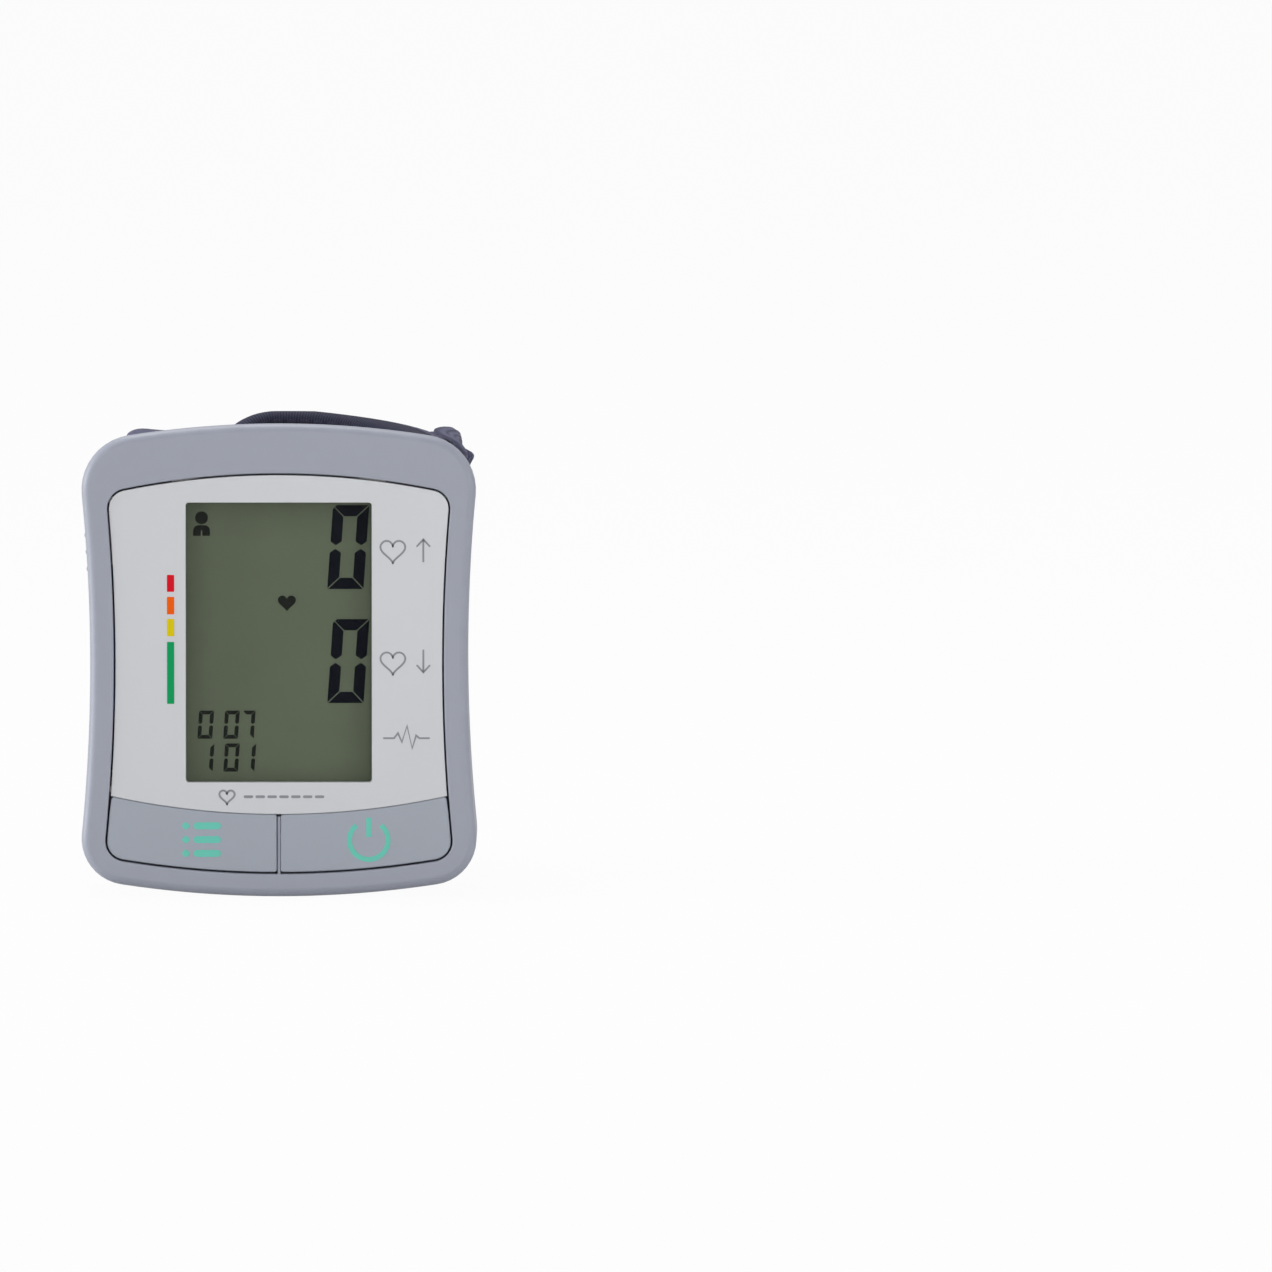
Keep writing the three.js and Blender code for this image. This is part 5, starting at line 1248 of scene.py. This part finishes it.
def puffSleeve(sleeve):
    tall = cuffSizes["high"] - cuffSizes["low"]
    held = sleeve.vertex_groups.new(name="held")
    start = [Vector(point.co) for point in sleeve.data.vertices]
    chart = sleeve.data.uv_layers["cloth"]
    for corner in sleeve.data.loops:
        across, distance = chart.data[corner.index].uv
        free = 1.0
        for away in (fromCuffEnd(distance), min(across, tall - across)):
            free *= ease(away, puffSizes["seam"], puffSizes["free"])
        held.add([corner.vertex_index], 1 - free, "REPLACE")
    puff = sleeve.modifiers.new("puff", "CLOTH")
    for key, value in puffSettings.items():
        setattr(puff.settings, key, value)
    puff.settings.effector_weights.gravity = 0
    puff.collision_settings.use_collision = False
    puff.point_cache.frame_start = 1
    puff.point_cache.frame_end = puffSizes["frames"]
    for frameNumber in range(1, puffSizes["frames"] + 1):
        bpy.context.scene.frame_set(frameNumber)
    blown = sleeve.evaluated_get(bpy.context.evaluated_depsgraph_get()).data
    moves = [Vector(point.co) - start[point.index] for point in blown.vertices]
    sleeve.modifiers.remove(puff)
    sleeve.vertex_groups.remove(held)
    bpy.context.scene.frame_set(1)
    limit = puffSizes["most"] * mm
    for point, move in zip(sleeve.data.vertices, moves):
        point.co = start[point.index] + move * min(1, limit / max(move.length, 1e-9))
    longest = max(move.length for move in moves)
    print("sleeve blown up, longest move in mm", round(longest / mm, 2))
    return sleeve


# the tape's way along the bottom, round the flap's end and back along the top
def bindingPath():
    size = bindingSizes
    end = cuffSizes["end"] + size["pastEnd"]
    corner = cuffSizes["endRound"]
    path = [(distance, 0.0, 0.0, 1.0) for distance in spread(size["start"], end - corner, size["step"])]
    for angle in between(0, math.pi / 2, size["cornerSteps"])[1:-1]:
        away = math.sin(angle)
        along = math.cos(angle)
        path.append((end - corner + corner * away, corner - corner * along, -away, along))
    path += [(end, z, -1.0, 0.0) for z in spread(corner, size["high"] / 2, size["step"])]
    mirrored = [(distance, size["high"] - z, dd, -dz) for distance, z, dd, dz in reversed(path[:-1])]
    return path + mirrored


def bindingSection():
    size = bindingSizes
    steps = size["rollSteps"]
    middle = (size["inner"] + size["outer"]) / 2
    reach = (size["outer"] - size["inner"]) / 2
    loop = [(size["inner"] + out, deep) for out, deep in size["lip"]]
    for i in range(2 * steps + 1):
        out = (reach - size["rollTrim"]) * (i / steps - 1)
        loop.append((middle + out, size["roll"] * (1 - math.sqrt(1 - (out / reach) ** 2))))
    return loop + [(size["outer"] - out, deep) for out, deep in reversed(size["lip"])]


def runLengths(loop):
    lengths = [0.0]
    closed = loop + [loop[0]]
    for a, b in zip(closed, closed[1:]):
        lengths.append(lengths[-1] + math.hypot(b[0] - a[0], b[1] - a[1]))
    return lengths


def makeBinding():
    size = bindingSizes
    loop = bindingSection()
    path = bindingPath()
    half = len(loop) // 2
    middle = (size["inner"] + size["outer"]) / 2
    rings = []
    for i, (distance, z, dd, dz) in enumerate(path):
        wave = size["waver"] * math.sin(i * size["waverTurn"])
        wave += size["drift"] * ripple(i, 1, *size["driftNoise"])
        close = size["closed"] + (1 - size["closed"]) * roundOff(distance - size["start"], size["closedOver"])
        points = []
        for j, (out, deep) in enumerate(loop):
            place = distance + dd * deep
            height = z + dz * (deep + (1 - close) * size["closedDrop"])
            reach = middle + (out - middle) * close + wave * (1 if j > half else -1)
            points.append(onLoop(place, reach, height - rimFall(place, height)))
        rings.append(points)
    along = [i * size["step"] for i in range(len(path))]
    return smooth(skin("cuffBinding", rings, across=runLengths(loop), along=along), 60)


clothColours = dict(
    outside=(0.12, 0.121, 0.185), inside=(0.024, 0.025, 0.048), rim=(0.033, 0.034, 0.06),
    strap=(0.125, 0.127, 0.19), seam=(0.1, 0.101, 0.15), tab=(0.11, 0.111, 0.172), loops=(0.06, 0.061, 0.098),
    hooks=(0.02, 0.02, 0.024), thread=(0.13, 0.13, 0.19), innerThread=(0.04, 0.04, 0.068),
    strapThread=(0.17, 0.17, 0.25),
)
sleeveCloth = cloth(
    "sleeveCloth", clothColours["outside"], rib=0.6, pick=0.5, fuzz=0.35, depth=0.16, upright=True,
    lining=clothColours["inside"], fold=cuffSizes["high"] - cuffSizes["low"],
)
tapeMiddle = runLengths(bindingSection())[len(bindingSection()) // 2]
tapeRows = (
    (bindingSizes["innerRow"], clothColours["innerThread"]),
    (2 * tapeMiddle - bindingSizes["outerRow"], clothColours["thread"]),
)
bindingTape = cloth(
    "bindingTape", clothColours["outside"], rib=0.5, pick=0.42, fuzz=0.3, depth=0.12, upright=True,
    rows=tapeRows, lining=clothColours["rim"], fold=tapeMiddle,
)
sleeve = finishPiece(
    puffSleeve(makeSleeve()), "case", sleeveCloth, ["cuff_cover", "cuff_liner", "cuff_bladder"]
)
finishPiece(makeBinding(), "case", bindingTape, ["cuff_binding_top", "cuff_binding_bottom"])
print("cuff sewn")


# strap: from its root on the left round the far side, down the right, with a loose end
strapSizes = dict(
    rootStart=20.4, rootFold=28, join=45, endFold=62, outEase=8, riseStart=92, reach=8, low=3.2, high=76.8,
    rise=4.0, rootDrop=1.1, thickness=1.6, tip=0.2, rootOut=5.2, tailOut=6.35, endRound=9, endSteps=12,
    hem=4.6, hemEase=0.5, hemRise=0.25, wave=0.05, waveNoise=(0.3, 0.12, 5.5),
    rootStep=0.8, tailStep=0.9, rows=(76.9, 143.5),
    edgeShares=(0, 0.0012, 0.0045, 0.009, 0.014, 0.022, 0.03, 0.04, 0.05, 0.056, 0.06, 0.066, 0.078, 0.09),
    middleSteps=30,
)
strapRight = 2 * halfLoop - sideStart
strapEnd = strapRight + strapSizes["reach"]


def strapStation(distance):
    if distance <= strapRight:
        return loopStation(-distance)
    return loopSizes["halfWidth"], cornerY - (distance - strapRight), 1, 0


def onStrap(distance, out, z):
    x, depth, nx, ny = strapStation(distance)
    return at(x + nx * out, depth + ny * out, z)


def strapOut(distance):
    size = strapSizes
    share = ease(distance, size["rootFold"], size["endFold"] - size["outEase"])
    return size["rootOut"] + (size["tailOut"] - size["rootOut"]) * share


# the loose end stands off, with a crimp near its upper corner, and its top edge curls in over the rim
flareSizes = dict(
    flare=2.8, low=58, full=70, even=0.24, crimp=0.46, crimpZ=75.9, crimpHalf=1.15,
    lean=1.2, leanLow=76.6, leanFrom=30, leanTo=16,
    curl=3.1, curlLow=77.9, curlHigh=80.3, curlFrom=12, curlTo=4,
)


def strapFlare(distance, z):
    size = flareSizes
    share = max(0, distance - strapEnd + strapSizes["reach"]) / strapSizes["reach"]
    crimp = size["crimp"] * math.exp(-((z - size["crimpZ"]) / size["crimpHalf"]) ** 2)
    turned = size["even"] * ease(z, size["low"], size["full"]) + crimp
    leaned = size["lean"] * ease(z, size["leanLow"], size["curlHigh"])
    leaned *= ease(distance, strapEnd - size["leanFrom"], strapEnd - size["leanTo"])
    curled = size["curl"] * ease(z, size["curlLow"], size["curlHigh"])
    curled *= ease(distance, strapEnd - size["curlFrom"], strapEnd - size["curlTo"])
    return size["flare"] * share * share * turned - leaned - curled


def strapRise(distance):
    size = strapSizes
    rootDrop = size["rootDrop"] * (1 - ease(distance, size["join"], size["riseStart"]))
    return size["rise"] * ease(distance, size["riseStart"], strapEnd) - rootDrop


# strap section at one place; the first face lies towards the wrist
def strapRing(distance, columns, closeAt):
    size = strapSizes
    pulled = endInset(distance, strapEnd, size["endRound"])
    low = size["low"] + strapRise(distance) + pulled
    high = size["high"] + strapRise(distance) - pulled
    near = strapOut(distance)
    half = size["thickness"] / 2
    left = closeAt - distance
    close = roundOff(left, half)
    points = []
    for outward, share in columns:
        z = low + (high - low) * share
        fromEdge = min(z - low, high - z, left + size["tip"])
        full = roundOff(fromEdge, half) * close
        hem = size["hemRise"] * ease(size["hem"] - fromEdge, 0, size["hemEase"])
        wave = size["wave"] * ripple(distance, z, *size["waveNoise"])
        out = near + half + (half * full + (hem * full + wave if outward else 0)) * (1 if outward else -1)
        points.append(onStrap(distance, out + strapFlare(distance, z), z))
    return points


def makeStrap(name, stations, closeAt=math.inf):
    size = strapSizes
    shares = edgedShares(size["edgeShares"], size["middleSteps"])
    columns, across = twoFaces(shares, size["high"] - size["low"])
    rings = [strapRing(distance, columns, closeAt) for distance in stations]
    return smooth(skin(name, rings, across=across, along=stations), 50)


strapBlue = cloth(
    "strapBlue", clothColours["strap"], rib=0.8, pick=0.62, fuzz=0.35, depth=0.15,
    rows=[(place, clothColours["strapThread"]) for place in strapSizes["rows"]],
)
rootStations = spread(strapSizes["rootStart"], strapSizes["join"], strapSizes["rootStep"])
strapFront = makeStrap("strapFront", rootStations)
tailStations = roundedSpread(
    strapSizes["join"], strapEnd, strapSizes["tailStep"], strapSizes["endRound"], strapSizes["endSteps"]
)
strapTail = makeStrap("strapTail", tailStations, strapEnd)
for piece in (strapFront, strapTail):
    dress(piece, strapBlue)
onStrap(24.5, 6.1, 40)
onStrap(33.0, 6.4, 40)
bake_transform(strapFront)
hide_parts("strap_root", "strap_middle")
turnSpot = Vector(onStrap(strapSizes["endFold"], 7.8, 40))
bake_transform(strapTail)
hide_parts("strap_end")

# sewn band over the join of the two strap lengths
seamSizes = dict(half=2.6, lift=0.22, corner=0.9, step=0.4, lip=0.16, drop=0.15, stretch=1.004)


def makeSeamBand():
    size = strapSizes
    stations = spread(size["join"] - seamSizes["half"], size["join"] + seamSizes["half"], seamSizes["step"])
    half = size["thickness"] / 2
    reach = half + seamSizes["lift"]
    section = roundedBox(-reach, 0, reach, size["high"] - size["low"], seamSizes["corner"])
    rings = []
    for i, distance in enumerate(stations):
        thin = 1 if 0 < i < len(stations) - 1 else 1 - seamSizes["lip"]
        near = strapOut(distance) + half
        low = size["low"] - seamSizes["drop"] + strapRise(distance)
        spots = [(near + out * thin, low + z * seamSizes["stretch"]) for out, z in section]
        rings.append([onStrap(distance, out, z) for out, z in spots])
    return smooth(skin("strapSeam", rings, across=runLengths(section), along=stations), 50)


seamTape = cloth("seamTape", clothColours["seam"], rib=0.55, pick=0.42, fuzz=0.3, depth=0.12)
finishPiece(makeSeamBand(), "strap_front", seamTape)
print("strap sewn")


# grip patches: soft loops on the flap, stiff hooks on the inner face of the strap's end;
# thumb tab: a folded tape sewn on the outer face of the loose end
patchSizes = dict(edgeShares=(0, 0.004, 0.012), middleSteps=40, edge=0.5, step=0.9)
loopPatchSizes = dict(
    start=sideStart + 2, end=cuffSizes["end"] - 8, near=4.9, far=5.5, low=8, high=72.6, corner=4
)
hookPatchSizes = dict(
    start=strapEnd - 44, end=strapEnd - 10, near=5.62, far=6.32, low=9, high=71.6, corner=3
)
tabSizes = dict(
    start=strapEnd - 11.5, end=strapEnd - 0.5, near=7.8, far=9.0, low=60.5, high=72.9, corner=2.2,
    step=0.7, row=1.3,
)


def makePatch(name, size, stations, place, rise):
    shares = edgedShares(patchSizes["edgeShares"], patchSizes["middleSteps"])
    columns, across = twoFaces(shares, size["high"] - size["low"])
    middle = (size["near"] + size["far"]) / 2
    half = (size["far"] - size["near"]) / 2
    rings = []
    for distance in stations:
        pulled = max(endInset(distance, end, size["corner"]) for end in (stations[-1], stations[0]))
        low = size["low"] + pulled + rise(distance)
        high = size["high"] - pulled + rise(distance)
        points = []
        for outward, share in columns:
            thin = ease(min(share, 1 - share) * (high - low), 0, patchSizes["edge"])
            out = middle + half * thin * (1 if outward else -1)
            points.append(place(distance, out, low + (high - low) * share))
        rings.append(points)
    return smooth(skin(name, rings, across=across, along=stations), 50)


def noRise(distance):
    return 0


def onFlare(distance, out, z):
    return onStrap(distance, out + strapFlare(distance, z), z)


loopStations = spread(loopPatchSizes["start"], loopPatchSizes["end"], patchSizes["step"])
loopPatch = makePatch("loopPatch", loopPatchSizes, loopStations, onLoop, noRise)
hookStations = spread(hookPatchSizes["start"], hookPatchSizes["end"], patchSizes["step"])
hookPatch = makePatch("hookPatch", hookPatchSizes, hookStations, onStrap, strapRise)
loopFuzz = cloth("loopFuzz", clothColours["loops"], rib=0.9, pick=0.8, fuzz=1.4, depth=0.4, sheen=0.1)
hookBlack = cloth("hookBlack", clothColours["hooks"], rib=1.1, pick=1.0, fuzz=0.25, depth=0.45, sheen=0.05)
finishPiece(loopPatch, "case", loopFuzz, ["loop_patch"])
finishPiece(hookPatch, "strap_tail", hookBlack, ["hook_patch"])
tabStations = roundedSpread(tabSizes["start"], tabSizes["end"], tabSizes["step"], tabSizes["corner"])
thumbTab = makePatch("thumbTab", tabSizes, tabStations, onFlare, strapRise)
tabTall = tabSizes["high"] - tabSizes["low"]
tabRows = [tabTall + tabSizes["row"], 2 * tabTall - tabSizes["row"]]
tabTape = cloth(
    "tabTape", clothColours["tab"], rib=0.5, pick=0.42, fuzz=0.3, depth=0.12,
    rows=[(place, clothColours["strapThread"]) for place in tabRows],
)
finishPiece(thumbTab, "strap_tail", tabTape)
print("patches made")


# inside pieces keep their solids and get their finishes
steelPlate = metal("nickelSteel", (0.5, 0.5, 0.51))
innerWhite = plastic("innerWhite", (0.7, 0.7, 0.67), rough=0.5, grain=0.2)
innerBlack = plastic("innerBlack", (0.016, 0.016, 0.018), rough=0.5, grain=0.15)
silicone = plastic("siliconeHose", (0.62, 0.6, 0.55), rough=0.55, grain=0.3, cloud=0.1)
leadRed = plastic("leadRed", (0.42, 0.025, 0.02), rough=0.5)
brass = metal("buzzerBrass", (0.62, 0.42, 0.15))
rubberBlack = plastic("rubberBlack", (0.02, 0.02, 0.022), rough=0.7, grain=0.2)


# green board with lighter copper tracks under the lacquer
boardColours = dict(Color1=(0.012, 0.1, 0.04, 1), Color2=(0.015, 0.12, 0.05, 1), Mortar=(0.05, 0.2, 0.07, 1))


def boardMaterial():
    material, tree, shader = newMaterial("boardGreen")
    spot = objectSpot(tree)
    tracks = node(
        tree, "ShaderNodeTexBrick", dict(offset=0.35), Vector=spot, Scale=220.0, Mortar_Size=0.06,
        **boardColours,
    ).outputs
    made = placeGroup(tree, grainGroup, Vector=spot, Grain_Size=0.5)
    plug(tree, tracks["Color"], shader["Base Color"])
    roughen(tree, shader, made["Clouding"], 0.25, 0.45)
    bump(tree, shader, tracks["Fac"], 0.3, 0.04)
    return material


# plain cell wrapper: dark sleeve with a lighter band near one end
cellLook = dict(
    dark=(0.025, 0.05, 0.1), light=(0.035, 0.07, 0.13), band=(0.5, 0.5, 0.5), bandFrom=58.5, bandTo=58.8
)


def cellMaterial():
    look = cellLook
    material, tree, shader = newMaterial("cellWrap")
    spot = objectSpot(tree)
    height = node(tree, "ShaderNodeSeparateXYZ", Vector=spot).outputs["Z"]
    band = ramp(tree, height, look["bandFrom"] * mm, look["bandTo"] * mm)
    made = placeGroup(tree, grainGroup, Vector=spot, Grain_Size=0.3)
    wrap = tint(tree, made["Clouding"], shaded(look["dark"]), shaded(look["light"]))
    plug(tree, tint(tree, band, wrap, shaded(look["band"])), shader["Base Color"])
    roughen(tree, shader, made["Clouding"], 0.25, 0.4)
    return material


nodeFinishes = {
    steelPlate: [
        "case_screw_1", "case_screw_2", "case_screw_3", "case_screw_4", "board_screw_1", "board_screw_2",
        "pump_motor", "exhaust_valve", "battery_spring_front", "battery_spring_rear", "battery_contact_front",
        "battery_contact_rear",
    ],
    innerWhite: [
        "lcd_holder", "memory_plunger", "power_plunger", "pump_eccentric", "air_manifold", "cuff_port",
        "battery_tray", "cuff_stiffener",
    ],
    innerBlack: [
        "memory_switch", "power_switch", "controller_chip", "pressure_sensor", "pump_head", "valve_plunger",
        "pump_lead_black", "cuff_plate",
    ],
    silicone: ["pump_diaphragm", "pump_tube", "sensor_tube", "valve_tube", "cuff_tube"],
    rubberBlack: ["contact_strip"],
    leadRed: ["pump_lead_red"],
    brass: ["buzzer"],
    boardMaterial(): ["main_board"],
    cellMaterial(): ["cell_front", "cell_rear"],
}
for material, names in nodeFinishes.items():
    for name in names:
        dress(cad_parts[name], material)
print("inside pieces dressed")


# stage: pale floor that fades to white, soft lamps on all sides and a weak world light
stageSizes = dict(floor=14000, floorDrop=0.05, floorTone=0.6, fibre=0.02, world=0.26, white=0.96, aim=45)


# 1 for rays that show the background: straight, mirrored or through glass
def backgroundRays(tree):
    rays = node(tree, "ShaderNodeLightPath").outputs
    seen = sums(tree, "MAXIMUM", rays["Is Camera Ray"], rays["Is Glossy Ray"])
    return sums(tree, "MAXIMUM", seen, rays["Is Transmission Ray"])


def mixShaders(tree, share, first, second, end):
    mixed = node(tree, "ShaderNodeMixShader")
    for socket, value in zip(mixed.inputs, (share, first, second)):
        plug(tree, value, socket)
    plug(tree, mixed.outputs["Shader"], end.inputs["Surface"])


def makeFloor():
    clearSelection()
    size = stageSizes
    bpy.ops.mesh.primitive_plane_add(size=size["floor"] * mm, location=(0, 0, -size["floorDrop"] * mm))
    floor = settle(named("paleFloor"))
    material, tree, shader = newMaterial("floorPaper")
    fibres = mottle(tree, objectSpot(tree), 300.0, 3.0)
    paper = [size["floorTone"]] * 3
    base = tint(tree, fibres, shaded(paper, 1 - size["fibre"]), shaded(paper, 1 + size["fibre"]))
    fillIn(tree, shader, Base_Color=base, Roughness=0.9, Specular_IOR_Level=0.1)
    glow = node(tree, "ShaderNodeEmission", Color=(1, 1, 1, 1), Strength=1.0).outputs["Emission"]
    share = sums(tree, "MULTIPLY", backgroundRays(tree), size["white"])
    paperShader = tree.nodes["Principled BSDF"].outputs["BSDF"]
    mixShaders(tree, share, paperShader, glow, tree.nodes["Material Output"])
    dress(floor, material)


def makeWorld():
    world = bpy.data.worlds.new("studioWorld")
    bpy.context.scene.world = world
    world.use_nodes = True
    tree = world.node_tree
    tree.nodes.clear()
    soft, white = [
        node(tree, "ShaderNodeBackground", Color=(1, 1, 1, 1), Strength=strength).outputs["Background"]
        for strength in (stageSizes["world"], 1.0)
    ]
    mixShaders(tree, backgroundRays(tree), soft, white, node(tree, "ShaderNodeOutputWorld"))


def addLamp(name, x, y, z, size, watts):
    spot = Vector((x * mm, y * mm, z * mm))
    aim = Vector((0, 0, stageSizes["aim"] * mm))
    turn = (aim - spot).to_track_quat("-Z", "Y").to_euler()
    bpy.ops.object.light_add(type="AREA", location=spot, rotation=turn)
    lamp = bpy.context.active_object
    lamp.name = name
    lamp.data.shape = "DISK"
    lamp.data.size = size * mm
    lamp.data.energy = watts


makeFloor()
makeWorld()
addLamp("keyLamp", -1300, -150, 200, 700, 17)
addLamp("topLamp", -150, 260, 1400, 800, 11)
addLamp("rightLamp", 1000, -700, 150, 900, 6)
addLamp("lowLamp", 100, -1500, 60, 420, 8.7)
bpy.context.scene.view_settings.view_transform = "Standard"
print("stage lit")
